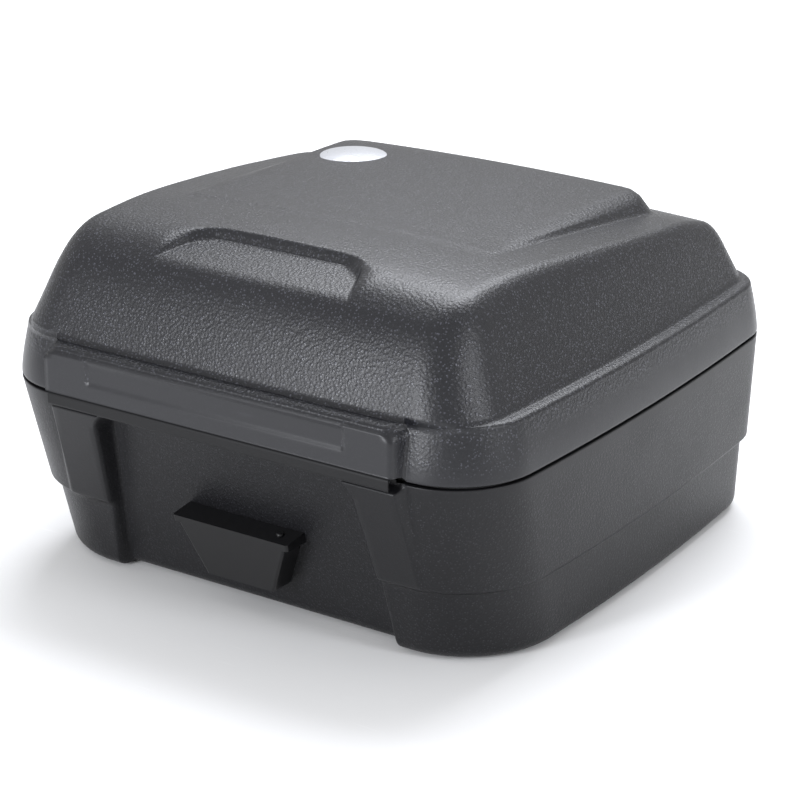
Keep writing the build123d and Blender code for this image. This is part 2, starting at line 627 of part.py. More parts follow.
def post_z(radius, low, high, x, y):
    """Round bar along Z."""
    return Pos(x, y, low) * Cylinder(radius, high - low, align=(Align.CENTER, Align.CENTER, Align.MIN))


def base_plate():
    """Steel plate that spreads the carrier bolts' load over the floor."""
    width = BOLT_SPACING_X + 2 * PLATE_MARGIN
    depth = BOLT_SPACING_Y + 2 * PLATE_MARGIN
    plate = Pos(0, BOLT_CENTRE_Y, FLOOR_TOP) * Box(
        width, depth, PLATE_THICKNESS, align=(Align.CENTER, Align.CENTER, Align.MIN))
    plate = fillet(plate.edges().filter_by(Axis.Z), PLATE_MARGIN / 2)
    for x, y in bolt_places(BOLT_SPACING_X, BOLT_SPACING_Y, BOLT_CENTRE_Y):
        plate = plate - post_z(BOLT_HOLE_RADIUS, BASE_Z, FLOOR_TOP + FLOOR, x, y)
    for x, y in PLATE_SCREW_PLACES:
        plate = plate - plate_screw(x, y)
    return plate


def plate_screw(x, y):
    """Countersunk screw that holds the plate to the floor."""
    top = FLOOR_TOP + PLATE_THICKNESS
    shank = post_z(RIVET_RADIUS, BASE_Z + 1.0, top, x, y)
    sink = Pos(x, y, FLOOR_TOP) * Cone(
        RIVET_RADIUS, RIVET_RADIUS + PLATE_THICKNESS, PLATE_THICKNESS,
        align=(Align.CENTER, Align.CENTER, Align.MIN))
    return shank + sink


def slotted_plate_screw(x, y):
    """Plate screw with the slot in its head."""
    slot = Pos(x, y, FLOOR_TOP + PLATE_THICKNESS) * Box(3 * RIVET_RADIUS, SCREW_SLOT_WIDTH, SCREW_SLOT_WIDTH)
    return plate_screw(x, y) - slot


def floor_mat():
    """Loose rubber mat over the plate and the floor."""
    drop = RIM_Z - FLOOR_TOP
    low = FLOOR_TOP + PLATE_THICKNESS
    inset = WALL + MAT_MARGIN + STEP_DEPTH
    sheet = extrude(outline(low, SIDE_DRAFT * drop + inset, FRONT_LEAN * drop + inset,
                            REAR_DRAFT * drop + inset, inset, FRONT_CORNER_GROWTH * drop), MAT_THICKNESS)
    sheet = sheet - recess_form(WALL + MAT_MARGIN)
    for x, y in bolt_places(BOLT_SPACING_X, BOLT_SPACING_Y, BOLT_CENTRE_Y):
        sheet = sheet - post_z(MAT_HOLE_RADIUS, low - 1.0, low + MAT_THICKNESS + 1.0, x, y)
    return sheet


def underside_pads():
    """Four rubber pads let into the floor's underside."""
    pads = []
    for x, y in bolt_places(PAD_SPACING_X, PAD_SPACING_Y, BOLT_CENTRE_Y):
        pad = post_z(PAD_RADIUS, 0.0, PAD_PROUD + PAD_RECESS, x, y)
        pads.append(fillet(pad.edges().group_by(Axis.Z)[0], PAD_PROUD / 2).solid())
    return Compound(children=pads)


def lock_housing():
    """Surround of the lock, shaped to the wall behind."""
    low = LOCK_Z - HOUSING_HEIGHT * HOUSING_BELOW_LOCK
    high = low + HOUSING_HEIGHT
    narrow = HOUSING_HALF_WIDTH * HOUSING_NARROWING
    outer_y = LOCK_FACE - LOCK_HEAD
    shape = prism_y([(-HOUSING_HALF_WIDTH, high), (HOUSING_HALF_WIDTH, high), (narrow, low),
                     (-narrow, low)], REAR - 3 * WALL, outer_y)
    shape = fillet(shape.edges().filter_by(Axis.Y), HOUSING_CORNER)
    shape = fillet(shape.edges().group_by(Axis.Y)[-1], HOUSING_EDGE_ROUND)
    shape = shape - tub_block()
    shape = shape - rod_y(LOCK_BODY_RADIUS, REAR - HALF_WIDTH, LOCK_FACE + 1.0)
    for x in (-HOUSING_SCREW_X, HOUSING_SCREW_X):
        shape = shape - housing_screw(x)
    return shape


def tub_block():
    """Tub's outer form without openings, for pieces that lie against its walls."""
    return loft([tub_outline(z) for z in (BASE_Z, STEP_BOTTOM, STEP_TOP, RIM_Z)], ruled=True)


def rear_wall_y(z):
    """Outside of the lock-side wall at height z, above the step, in the middle of the case."""
    return REAR - REAR_DRAFT * (RIM_Z - z)


def housing_screw(x):
    """Screw from inside the tub into the lock's surround."""
    inner = rear_wall_y(LOCK_Z) - WALL - SEAT_DEPTH
    shank = rod_y(RIVET_RADIUS, inner, REAR + LOCK_PROUD * 0.3, x)
    head = rod_y(RIVET_HEAD_RADIUS, inner - SCREW_HEAD_HEIGHT, inner, x)
    head = fillet(head.edges().group_by(Axis.Y)[0], SCREW_HEAD_HEIGHT * 0.4)
    return shank + head


def lock_body():
    """Fixed barrel of the lock, with its round head outside."""
    start = LOCK_FACE - LOCK_BODY_LENGTH
    barrel = rod_y(LOCK_BODY_RADIUS, start, LOCK_FACE - LOCK_HEAD)
    head = rod_y(LOCK_HEAD_RADIUS, LOCK_FACE - LOCK_HEAD, LOCK_FACE)
    head = fillet(head.edges().group_by(Axis.Y)[-1], LOCK_HEAD * 0.4)
    return barrel + head - rod_y(LOCK_PLUG_RADIUS + RUNNING_CLEARANCE, start - 1.0, LOCK_FACE + 1.0)


def lock_nut():
    """Hexagon nut that clamps the lock to the wall from inside."""
    seat = rear_wall_y(LOCK_Z) - WALL - SEAT_DEPTH
    face = Plane(origin=(0, seat, LOCK_Z), x_dir=(1, 0, 0), z_dir=(0, -1, 0))
    nut = extrude(face * RegularPolygon(LOCK_NUT_SIZE / 2, 6, major_radius=False), LOCK_NUT_THICKNESS)
    return nut - rod_y(LOCK_BODY_RADIUS, REAR - HALF_WIDTH, LOCK_FACE)


def lock_plug():
    """Turning plug with its key slot and a flattened tail for the cam."""
    plug = rod_y(LOCK_PLUG_RADIUS, CAM_FRONT, LOCK_FACE - 0.5)
    slot = box_between((-KEY_SLOT_WIDTH / 2, LOCK_FACE - KEY_SLOT_DEPTH, LOCK_Z - KEY_SLOT_HEIGHT / 2),
                       (KEY_SLOT_WIDTH / 2, LOCK_FACE + 1.0, LOCK_Z + KEY_SLOT_HEIGHT / 2))
    tail = rod_y(LOCK_PLUG_RADIUS, CAM_BACK, CAM_FRONT) & box_between(
        (-CAM_TAIL_HALF, CAM_BACK, LOCK_Z - LOCK_PLUG_RADIUS),
        (CAM_TAIL_HALF, CAM_FRONT, LOCK_Z + LOCK_PLUG_RADIUS))
    return plug - slot + tail - cam_screw()


def lock_cam():
    """Tongue on the plug's tail; it points up when the lock is open."""
    half = CAM_WIDTH / 2
    eye = rod_y(LOCK_PLUG_RADIUS + 2.5, CAM_BACK, CAM_FRONT)
    arm = box_between((-half, CAM_BACK, LOCK_Z), (half, CAM_FRONT, LOCK_Z + CAM_REACH))
    arm = fillet(arm.edges().filter_by(Axis.Y).group_by(Axis.Z)[-1], half * 0.6)
    tail = rod_y(LOCK_PLUG_RADIUS, CAM_BACK, CAM_FRONT) & box_between(
        (-CAM_TAIL_HALF, CAM_BACK, LOCK_Z - LOCK_PLUG_RADIUS),
        (CAM_TAIL_HALF, CAM_FRONT, LOCK_Z + LOCK_PLUG_RADIUS))
    return eye + arm - tail


def cam_screw():
    """Screw that holds the cam on the plug."""
    shank = rod_y(RIVET_RADIUS, CAM_BACK, CAM_BACK + 3 * CAM_THICKNESS)
    head = rod_y(LOCK_PLUG_RADIUS, CAM_BACK - SCREW_HEAD_HEIGHT, CAM_BACK)
    head = fillet(head.edges().group_by(Axis.Y)[0], SCREW_HEAD_HEIGHT * 0.4)
    slot = Pos(0, CAM_BACK - SCREW_HEAD_HEIGHT, LOCK_Z) * Box(
        2 * LOCK_PLUG_RADIUS, SCREW_SLOT_WIDTH, SCREW_SLOT_WIDTH)
    return shank + head - slot


def striker():
    """Bent plate on the lid: the tongue turns over its foot."""
    half = STRIKER_WIDTH / 2
    plate = box_between((STRIKER_X - half, STRIKER_Y, STRIKER_FOOT_TOP - STRIKER_THICKNESS),
                        (STRIKER_X + half, STRIKER_Y + STRIKER_THICKNESS, STRIKER_TOP_Z))
    foot = box_between((STRIKER_X - half, CAM_BACK - 1.0, STRIKER_FOOT_TOP - STRIKER_THICKNESS),
                       (STRIKER_X + half, STRIKER_Y + STRIKER_THICKNESS, STRIKER_FOOT_TOP))
    shape = plate + foot
    outer = shape.edges().filter_by(Axis.X).group_by(Axis.Z)[0].group_by(Axis.Y)[-1]
    shape = fillet(outer, STRIKER_THICKNESS * 0.8)
    for z in STRIKER_SCREW_PLACES:
        shape = shape - striker_screw(z)
    return shape


def striker_screw(z):
    """Screw through the striker into the lid's boss."""
    shank = rod_y(RIVET_RADIUS, STRIKER_Y, STRIKER_Y + 4 * STRIKER_THICKNESS, STRIKER_X, z)
    head = rod_y(RIVET_HEAD_RADIUS, STRIKER_Y - SCREW_HEAD_HEIGHT, STRIKER_Y, STRIKER_X, z)
    head = fillet(head.edges().group_by(Axis.Y)[0], SCREW_HEAD_HEIGHT * 0.4)
    return shank + head


def reflector_block(side, back, front):
    """Space of one reflector between two depths."""
    start = HOUSING_HALF_WIDTH + REFLECTOR_GAP
    half = REFLECTOR_HEIGHT / 2
    shape = box_between((start, back, LOCK_Z - half), (start + REFLECTOR_WIDTH, front, LOCK_Z + half))
    shape = fillet(shape.edges().filter_by(Axis.Y), REFLECTOR_HEIGHT / 5)
    return shape if side > 0 else mirror(shape, about=Plane.YZ)


def rear_reflector(side):
    """Red reflector let a little into the lock-side wall."""
    shape = reflector_block(side, REFLECTOR_BACK, REFLECTOR_BACK + REFLECTOR_RECESS + REFLECTOR_PROUD)
    return fillet(shape.edges().group_by(Axis.Y)[-1], REFLECTOR_PROUD * 0.4)


def lid_seal():
    """Rubber ring in the groove between the lid's wall and its rib."""
    return ring(RIM_Z + SEAL_GAP, RING_Z - RIM_Z - SEAL_GAP, WALL + SEAL_SIDE_GAP, WALL + SEAL_WIDTH)


def badge():
    """Plain domed disc in the plateau's pocket."""
    disc = post_z(BADGE_RADIUS, BADGE_Z, BADGE_Z + BADGE_EDGE, BADGE_X, BADGE_Y)
    sphere_radius = (BADGE_RADIUS ** 2 + BADGE_DOME ** 2) / (2 * BADGE_DOME)
    centre_z = BADGE_Z + BADGE_EDGE + BADGE_DOME - sphere_radius
    ball = Pos(BADGE_X, BADGE_Y, centre_z) * Sphere(sphere_radius)
    cap = ball & post_z(BADGE_RADIUS, BADGE_Z + BADGE_EDGE, BADGE_Z + 3 * BADGE_DOME, BADGE_X, BADGE_Y)
    return disc + cap


def tub_shell():
    """Tub's moulding with every seat and hole for the pieces on it."""
    shell = tub_outside() - tub_inside() - hinge_space()
    leaf_seat = box_between((-BARREL_HALF_LENGTH, AXIS_Y, RIM_Z - LEAF_THICKNESS),
                            (BARREL_HALF_LENGTH, AXIS_Y + LEAF_REACH, RIM_Z + 1.0))
    shelf = box_between((-BARREL_HALF_LENGTH, FRONT + RIM_WIDTH - 1.0, RECESS_TOP),
                        (BARREL_HALF_LENGTH, AXIS_Y + LEAF_REACH + WALL, RIM_Z))
    shell = shell + (shelf - recess_form()) - leaf_seat
    for x in hinge_rivet_places():
        shell = shell - leaf_rivet(x)
    for x in (-WEDGE_SCREW_X, WEDGE_SCREW_X):
        shell = shell - wedge_screw(x)
    for x, y in bolt_places(BOLT_SPACING_X, BOLT_SPACING_Y, BOLT_CENTRE_Y):
        shell = shell - post_z(BOLT_HOLE_RADIUS, BASE_Z - 1.0, FLOOR_TOP + 1.0, x, y)
    for x, y in PLATE_SCREW_PLACES:
        shell = shell - plate_screw(x, y)
    for x, y in bolt_places(PAD_SPACING_X, PAD_SPACING_Y, BOLT_CENTRE_Y):
        shell = shell - post_z(PAD_RADIUS, 0.0, BASE_Z + PAD_RECESS, x, y)
    seat_y = rear_wall_y(LOCK_Z) - WALL - SEAT_DEPTH
    seat_half = HOUSING_SCREW_X + 2 * RIVET_HEAD_RADIUS
    seat = box_between((-seat_half, seat_y, LOCK_Z - LOCK_NUT_SIZE * 0.65),
                       (seat_half, rear_wall_y(LOCK_Z) - WALL / 2, LOCK_Z + LOCK_NUT_SIZE * 0.6))
    shell = shell + seat - rod_y(LOCK_BODY_RADIUS, REAR - HALF_WIDTH, LOCK_FACE)
    for x in (-HOUSING_SCREW_X, HOUSING_SCREW_X):
        shell = shell - housing_screw(x)
    for side in (-1, 1):
        shell = shell - reflector_block(side, REFLECTOR_BACK, LOCK_FACE)
    return shell


# ---- Places of small pieces, worked out from the sizes above ----
BADGE_Z = plateau_z(BADGE_Y + BADGE_RADIUS) - BADGE_POCKET
WEDGE_SCREW_Z = (WEDGE_TOP_Z + WEDGE_FOOT_Z) / 2
CHANNEL_RIVET_Z = AXIS_Z + BEAD_HALF + 0.3 * CHANNEL_FLANGE
PLATE_SCREW_PLACES = [(0.0, BOLT_CENTRE_Y + s * BOLT_SPACING_Y / 2) for s in (-1, 1)]
PLATE_SCREW_PLACES += [(s * BOLT_SPACING_X / 2, BOLT_CENTRE_Y) for s in (-1, 1)]
HOUSING_SCREW_X = HOUSING_HALF_WIDTH * 0.6
CAM_FRONT = LOCK_FACE - LOCK_BODY_LENGTH - CAM_GAP
CAM_BACK = CAM_FRONT - CAM_THICKNESS
CAM_TAIL_HALF = LOCK_PLUG_RADIUS * 0.7
STRIKER_Y = CAM_FRONT + STRIKER_PLAY
STRIKER_FOOT_TOP = LOCK_Z - CAM_WIDTH / 2 - STRIKER_PLAY
STRIKER_SCREW_PLACES = [STRIKER_TOP_Z - 5.0, STRIKER_TOP_Z - 16.0]
REFLECTOR_BACK = rear_wall_y(LOCK_Z) - END_CROWN - REFLECTOR_RECESS


def solids_of(shapes):
    """One group of separate solids."""
    return Compound(children=[shape.solid() for shape in shapes])


parts = {
    "tub_shell": tub_shell(),
    "wedge_bracket": wedge_bracket(),
    "wedge_stud": wedge_stud(),
    "wedge_screws": solids_of([wedge_screw(x) for x in (-WEDGE_SCREW_X, WEDGE_SCREW_X)]),
    "hinge_leaf": hinge_leaf(),
    "hinge_rod": rod_x(ROD_RADIUS, BARREL_HALF_LENGTH),
    "leaf_rivets": solids_of([leaf_rivet(x) for x in hinge_rivet_places()]),
    "base_plate": base_plate(),
    "plate_screws": solids_of([slotted_plate_screw(x, y) for x, y in PLATE_SCREW_PLACES]),
    "floor_mat": floor_mat(),
    "underside_pads": underside_pads(),
    "lock_housing": lock_housing(),
    "housing_screws": solids_of([housing_screw(x) for x in (-HOUSING_SCREW_X, HOUSING_SCREW_X)]),
    "lock_body": lock_body(),
    "lock_nut": lock_nut(),
    "rear_reflector_left": rear_reflector(-1),
    "rear_reflector_right": rear_reflector(1),
    "lock_plug": lock_plug(),
    "lock_cam": lock_cam(),
    "cam_screw": cam_screw(),
    "lid_shell": lid_shell(),
    "hinge_channel": hinge_channel(),
    "channel_rivets": channel_rivets(),
    "lid_seal": lid_seal(),
    "striker": striker(),
    "striker_screws": solids_of([striker_screw(z) for z in STRIKER_SCREW_PLACES]),
    "badge": badge(),
}

os.makedirs("parts", exist_ok=True)
for name, shape in parts.items():
    export_step(shape, "parts/" + name + ".step")
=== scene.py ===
import json
import math

import bpy
import numpy as np
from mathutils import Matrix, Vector


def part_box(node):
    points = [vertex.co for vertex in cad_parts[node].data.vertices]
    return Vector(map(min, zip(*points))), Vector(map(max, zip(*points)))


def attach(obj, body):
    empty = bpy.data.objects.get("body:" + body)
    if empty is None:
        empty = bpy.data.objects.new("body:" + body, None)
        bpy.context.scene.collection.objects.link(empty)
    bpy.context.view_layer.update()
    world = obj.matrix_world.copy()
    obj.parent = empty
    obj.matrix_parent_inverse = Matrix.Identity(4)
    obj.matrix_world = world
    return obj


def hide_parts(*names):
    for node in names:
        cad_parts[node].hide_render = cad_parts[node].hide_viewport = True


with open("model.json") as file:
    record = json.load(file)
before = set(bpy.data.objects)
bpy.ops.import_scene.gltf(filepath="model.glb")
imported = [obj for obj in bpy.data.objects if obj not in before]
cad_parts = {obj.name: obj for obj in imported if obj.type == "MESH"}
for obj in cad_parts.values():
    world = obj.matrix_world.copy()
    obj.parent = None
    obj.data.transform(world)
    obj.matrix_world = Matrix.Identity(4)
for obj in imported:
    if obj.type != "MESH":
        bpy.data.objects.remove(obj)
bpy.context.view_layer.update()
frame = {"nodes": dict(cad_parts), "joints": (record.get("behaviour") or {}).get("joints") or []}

MM = 0.001

# ---------------------------------------------------------------- sizes, in millimetres


def box_mm(node):
    """Lowest and highest corner of a CAD node in millimetres."""
    low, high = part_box(node)
    return np.array(low) / MM, np.array(high) / MM


TUB_LOW, TUB_HIGH = box_mm("tub_shell")
LID_LOW, LID_HIGH = box_mm("lid_shell")
SEAL_TOP = box_mm("lid_seal")[1][2]
HINGE = next(joint for joint in frame["joints"] if joint["name"] == "lid_hinge")

HALF = TUB_HIGH[0]                      # half width at the seam
REAR = LID_HIGH[1]                      # lock side at the seam
FRONT = -REAR                           # hinge side at the seam
RIM = TUB_HIGH[2]                       # top of the tub's rim
BASE = TUB_LOW[2]                       # underside of the tub's moulding
LID_FOOT = LID_LOW[2]                   # lid's lower edge
PANEL_FACE = LID_LOW[1]                 # face of the lid's hinge panel
AXIS_Y = HINGE["pos_m"][1] / MM
AXIS_Z = HINGE["pos_m"][2] / MM
BEAD_HALF = 5.0
BEAD_TOP = AXIS_Z + BEAD_HALF            # top of the hinge channel
WALL = 3.5                              # moulded wall of tub and lid
FRONT_CORNER = 54.0                     # radius of the hinge side's corners at the seam
REAR_CORNER = 42.0
FRONT_CORNER_GROWTH = 0.09              # they grow rounder per millimetre below the rim
SIDE_BOW = 9.0                          # sides draw in this much towards the corners
END_BOW = 3.0
SWING_RADIUS = 6.7                      # room for the turning channel
LEAST_CORNER = 8.0                      # no corner of a tub loop is tighter

# tub
STEP_Z = RIM - 81.0
STEP_HALF_HEIGHT = 2.6
STEP_DEPTH = 3.6
SIDE_DRAFT = 0.04
FRONT_LEAN = 0.217
REAR_DRAFT = 0.026
RECESS_DEPTH = 11.5
RECESS_LEAN = 0.2455
RECESS_HALF_TOP = 103.0
RECESS_HALF_LOW = 117.0
RECESS_CORNER = 14.0
PILASTER_PROUD = 6.4
PILASTER_LEAN = 0.308
PILASTER_WIDTH = 40.0
PILASTER_FOOT = RIM - 85.0
PILASTER_CHAMFER = 9.0
BASE_ROUND = 8.0
PILASTER_FLARE = 5.0                    # a pilaster's outer edge moves out this much to its foot
PILASTER_BLEND = 2.6                    # half width of the soft edge
RECESS_TOP_GAP = 1.5                    # between the rim's wall and the recess
RECESS_BLEND = 2.4
RIM_ROUND = 0.8
RIM_INSET = 8.0                         # width of the rim's flat top
FLOOR_THICKNESS = 4.0
INNER_ROUND = 5.0                       # between the inner wall and the floor
SIDE_LINE_TOP = 163.0                   # outermost feature line of the tub's long sides, at the rim
SIDE_LINE_FALL = 8.0
TUB_REAR_LINES = (100.0, 140.0)
TUB_SIDE_LINES = (-90.0, 90.0)

# lid
BAND_TOP = RIM + 36.0
BAND_DRAFT = 6.0
DOME_FOOT = RIM + 40.0
LEDGE = 8.0
PANEL_HALF = 145.0
PANEL_TOP = RIM + 38.0
CREST_Y = -130.0
CREST_Z = RIM + 118.0
DOME_LEAN = 0.42
DOME_FRONT_LEAN = 0.30
DOME_ROUND_FRONT = 26.0
DOME_ROUND_REAR = 13.0
POCKET_HALF = 106.0
POCKET_FOOT = RIM + 18.0
POCKET_DEPTH = 1.4
PLATEAU_REAR = 134.0
PLATEAU_START = -74.0
PLATEAU_RISE = 15.0
SCOOP_HALF_REAR = 66.0
SCOOP_FLARE = 0.4
SCOOP_FLOOR_Z = CREST_Z - 9.0
SCOOP_FALL = 0.19
PLATEAU_HALF = 127.0                    # half width at its start
PLATEAU_GROWTH = 12.0                   # and what it gains towards the lock side
PLATEAU_MARGIN = 8.0                    # its rear edge lies this far beyond PLATEAU_REAR
PLATEAU_CORNER = 26.0
PLATEAU_WALL = 1.25                     # slope of its edge
SCOOP_CORNER = 18.0
SHOULDER_MID = (2.0, CREST_Z - 8.5)
SHOULDER_REAR_Z = CREST_Z - 22.0
CREST_LIFT = 1.5
TAIL_FALL = 0.42
CROSS_BOW = 4.0                         # the top falls this much at CROSS_BOW_HALF from the middle
CROSS_BOW_HALF = 158.0
DOME_REACH = 48.0                       # the dome's loops close in this far, then the cap begins
CAP_LINE = 138.0                        # outermost feature line of the cap
LID_REAR_LINE = 118.0
PANEL_CORNER = 9.0


# ---------------------------------------------------------------- small numeric helpers


def smooth_step(low, high, x):
    """0 below low, 1 above high, with an S-shaped cubic between."""
    t = np.clip((x - low) / (high - low), 0.0, 1.0)
    return t * t * (3.0 - 2.0 * t)


def soft_min(a, b, width):
    """The lower of a and b, rounded with a parabola where they are within width of each other."""
    gap = np.clip(width - np.abs(a - b), 0.0, None)
    return np.minimum(a, b) - gap * gap / (4.0 * width)


def soft_max(a, b, width):
    """The higher of a and b, rounded in the same way."""
    return -soft_min(-a, -b, width)


def circle_height(y, p, q, r):
    """Height at y of the upper part of the circle through three (y, z) points."""
    (ax, ay), (bx, by), (cx, cy) = p, q, r
    d = 2 * (ax * (by - cy) + bx * (cy - ay) + cx * (ay - by))
    uy = ((ax**2 + ay**2) * (by - cy) + (bx**2 + by**2) * (cy - ay) + (cx**2 + cy**2) * (ay - by)) / d
    uz = ((ax**2 + ay**2) * (cx - bx) + (bx**2 + by**2) * (ax - cx) + (cx**2 + cy**2) * (bx - ax)) / d
    radius = math.hypot(ax - uy, ay - uz)
    return uz + np.sqrt(np.clip(radius**2 - (y - uy) ** 2, 0.0, None))


def rounded_distance(x, z, half, top, radius):
    """Signed distance to a shape that is open below: |x| under half, z under top, corners rounded."""
    qx = np.abs(x) - (half - radius)
    qz = z - (top - radius)
    outside = np.hypot(np.clip(qx, 0.0, None), np.clip(qz, 0.0, None))
    return outside + np.minimum(np.maximum(qx, qz), 0.0) - radius


# ---------------------------------------------------------------- a closed outline's points

# Numbers of columns between the feature lines of half a long side, then round half a corner.
COLUMN_COUNTS = [15, 6, 7, 6, 4, 6, 3, 7]
ROW_COUNTS = [7, 5, 7, 24, 30, 7, 5, 7]


def between(knots, counts):
    """Values that run from knot to knot with the given number of steps; knots may be a column per level."""
    pieces = [np.asarray(knots[0])[..., None]]
    for start, end, count in zip(knots[:-1], knots[1:], counts):
        share = np.arange(1, count + 1) / count
        start, end = np.asarray(start)[..., None], np.asarray(end)[..., None]
        pieces.append(start + (end - start) * share)
    return np.concatenate(pieces, axis=-1)


def columns(edges, tangent, half, spread=3.0):
    """Column places across a long side: dense beside the three feature lines, the same left and right."""
    e1, e2, e3 = edges
    beside = [line + offset for line in (e1, e2, e3) for offset in (-spread, spread)]
    right = between(sorted([0.0, *beside, tangent, half]), COLUMN_COUNTS)
    return np.concatenate([-right[::-1], right[1:]])


def rows(low, high, tangent_low, tangent_high, lines, spread=3.0):
    """Row places along a short side: dense beside the two feature lines."""
    a, b = lines
    beside = [a - spread, a + spread, (a + b) / 2, b - spread, b + spread]
    return between(sorted([low, tangent_low, *beside, tangent_high, high]), ROW_COUNTS)


def ring(half, low, high, radii, front_edges, rear_edges, lines):
    """Points (x, y) round a bowed rectangle with round corners, in the order front, right, rear, left.
    A place past a corner's tangent point turns into an angle of up to 45 degrees on that corner's arc."""
    front_radius, rear_radius = radii
    ys = rows(low, high, low + front_radius, high - rear_radius, lines)
    front = columns(front_edges, half - front_radius, half)
    rear = columns(rear_edges, half - rear_radius, half)
    quarter = math.pi / 4

    def side(place, end, radius):
        """Along a straight side and round half of the corner: distance along and distance drawn in."""
        sign = np.sign(place)
        tangent = end - radius
        share = np.clip((np.abs(place) - tangent) / (end - tangent), 0.0, 1.0)
        angle = share * quarter
        along = np.minimum(np.abs(place), tangent) + radius * np.sin(angle)
        return sign * along, radius * (1.0 - np.cos(angle))

    middle = (low + high) / 2
    reach = (high - low) / 2
    fx, fin = side(front, half, front_radius)
    rx, rin = side(rear, half, rear_radius)
    sy, side_in = side(ys - middle, reach, np.where(ys < middle, front_radius, rear_radius))
    front_pts = np.stack([fx, low + fin], 1)
    right_pts = np.stack([half - side_in, middle + sy], 1)
    rear_pts = np.stack([rx, high - rin], 1)
    left_pts = np.stack([side_in - half, middle + sy], 1)
    loop = np.concatenate([front_pts, right_pts[1:-1], rear_pts[::-1], left_pts[::-1][1:-1]])
    return bow(loop, half, middle, reach)


def bow(points, half, middle, reach):
    """Draws the sides in towards the corners: in proportion to the square of the place along them."""
    x, y = points[..., 0], points[..., 1]
    along = (y - middle) / reach
    across = x / half
    return np.stack([x * (1.0 - SIDE_BOW / HALF * along**2),
                     middle + (y - middle) * (1.0 - END_BOW / REAR * across**2)], -1)


END_SCALE = 1.0 - SIDE_BOW / HALF       # the bow's effect on x at the two ends
N_COLUMNS = 2 * sum(COLUMN_COUNTS)
N_ROWS = sum(ROW_COUNTS)


def cap_points(loop, base_x, base_y, reach=26.0):
    """Grid (rows, columns) of (x, y) that starts from straight feature lines and meets the loop all round.
    The loop's distance from the plain grid's border fades inwards over reach."""
    front = loop[: N_COLUMNS + 1]
    right = loop[N_COLUMNS: N_COLUMNS + N_ROWS + 1]
    rear = loop[N_COLUMNS + N_ROWS: 2 * N_COLUMNS + N_ROWS + 1][::-1]
    left = np.concatenate([loop[2 * N_COLUMNS + N_ROWS:], loop[:1]])[::-1]
    grid = np.stack([base_x, base_y], -1)

    def fade(distance):
        return 1.0 - smooth_step(0.0, 1.0, distance / reach)

    from_left = fade(np.abs(base_x - base_x[:, :1]))[..., None]
    from_right = fade(np.abs(base_x - base_x[:, -1:]))[..., None]
    from_front = fade(np.abs(base_y - base_y[:1]))[..., None]
    from_rear = fade(np.abs(base_y - base_y[-1:]))[..., None]
    d_left = (left - grid[:, 0])[:, None]
    d_right = (right - grid[:, -1])[:, None]
    d_front = (front - grid[0])[None]
    d_rear = (rear - grid[-1])[None]
    shift = from_left * d_left + from_right * d_right + from_front * d_front + from_rear * d_rear
    shift -= from_left * from_front * d_front[:, :1] + from_right * from_front * d_front[:, -1:]
    shift -= from_left * from_rear * d_rear[:, :1] + from_right * from_rear * d_rear[:, -1:]
    return grid + shift


def shell_mesh(name, loops, first_cap, last_cap):
    """Closed surface: loops stacked from first to last, with a grid of points closing each end.
    Faces point outwards when the loops run from the outer cap to the inner cap."""
    count = loops[0].shape[0]
    points = np.concatenate(loops)
    index = np.arange(len(loops) * count).reshape(len(loops), count)
    following = np.roll(index, -1, axis=1)
    faces = [np.stack([index[:-1], index[1:], following[1:], following[:-1]], -1).reshape(-1, 4)]
    for grid, loop_index, flip in ((first_cap, index[0], False), (last_cap, index[-1], True)):
        number = np.full(grid.shape[:2], -1)
        number[0, :] = loop_index[: N_COLUMNS + 1]
        number[:, -1] = loop_index[N_COLUMNS: N_COLUMNS + N_ROWS + 1]
        number[-1, ::-1] = loop_index[N_COLUMNS + N_ROWS: 2 * N_COLUMNS + N_ROWS + 1]
        number[::-1, 0] = np.concatenate([loop_index[2 * N_COLUMNS + N_ROWS:], loop_index[:1]])
        inner = grid[1:-1, 1:-1]
        order = np.arange(inner.shape[0] * inner.shape[1]).reshape(inner.shape[:2])
        number[1:-1, 1:-1] = order + len(points)
        points = np.concatenate([points, inner.reshape(-1, 3)])
        quads = np.stack([number[:-1, :-1], number[:-1, 1:], number[1:, 1:], number[1:, :-1]], -1)
        quads = quads.reshape(-1, 4)
        faces.append(quads[:, ::-1] if flip else quads)
    return mesh_from(name, points, np.concatenate(faces))


def mesh_from(name, points, quads):
    """Mesh object from points in millimetres and quads, smooth shaded."""
    mesh = bpy.data.meshes.new(name)
    mesh.vertices.add(len(points))
    mesh.vertices.foreach_set("co", (np.asarray(points, np.float32) * MM).ravel())
    mesh.loops.add(4 * len(quads))
    mesh.loops.foreach_set("vertex_index", quads.astype(np.int32).ravel())
    mesh.polygons.add(len(quads))
    mesh.polygons.foreach_set("loop_start", np.arange(len(quads), dtype=np.int32) * 4)
    mesh.update(calc_edges=True)
    mesh.validate()
    mesh.polygons.foreach_set("use_smooth", np.ones(len(mesh.polygons), bool))
    piece = bpy.data.objects.new(name, mesh)
    bpy.context.scene.collection.objects.link(piece)
    return piece


# ---------------------------------------------------------------- tub


def tub_level(z, inset=0.0):
    """Half width, hinge side, lock side and corner radii of the tub's wall at height z."""
    below = RIM - z
    step = STEP_DEPTH * (1.0 - smooth_step(STEP_Z - STEP_HALF_HEIGHT, STEP_Z + STEP_HALF_HEIGHT, z))
    half = HALF - SIDE_DRAFT * below - step - inset
    front = FRONT + FRONT_LEAN * below + step + inset
    rear = REAR - REAR_DRAFT * below - step - inset
    radii = (FRONT_CORNER + FRONT_CORNER_GROWTH * below - inset, REAR_CORNER - inset)
    return half, front, rear, radii


def recess_edge(z):
    """Half width of the recessed panel at height z."""
    return RECESS_HALF_TOP + (RECESS_HALF_LOW - RECESS_HALF_TOP) * (RIM - z) / RIM


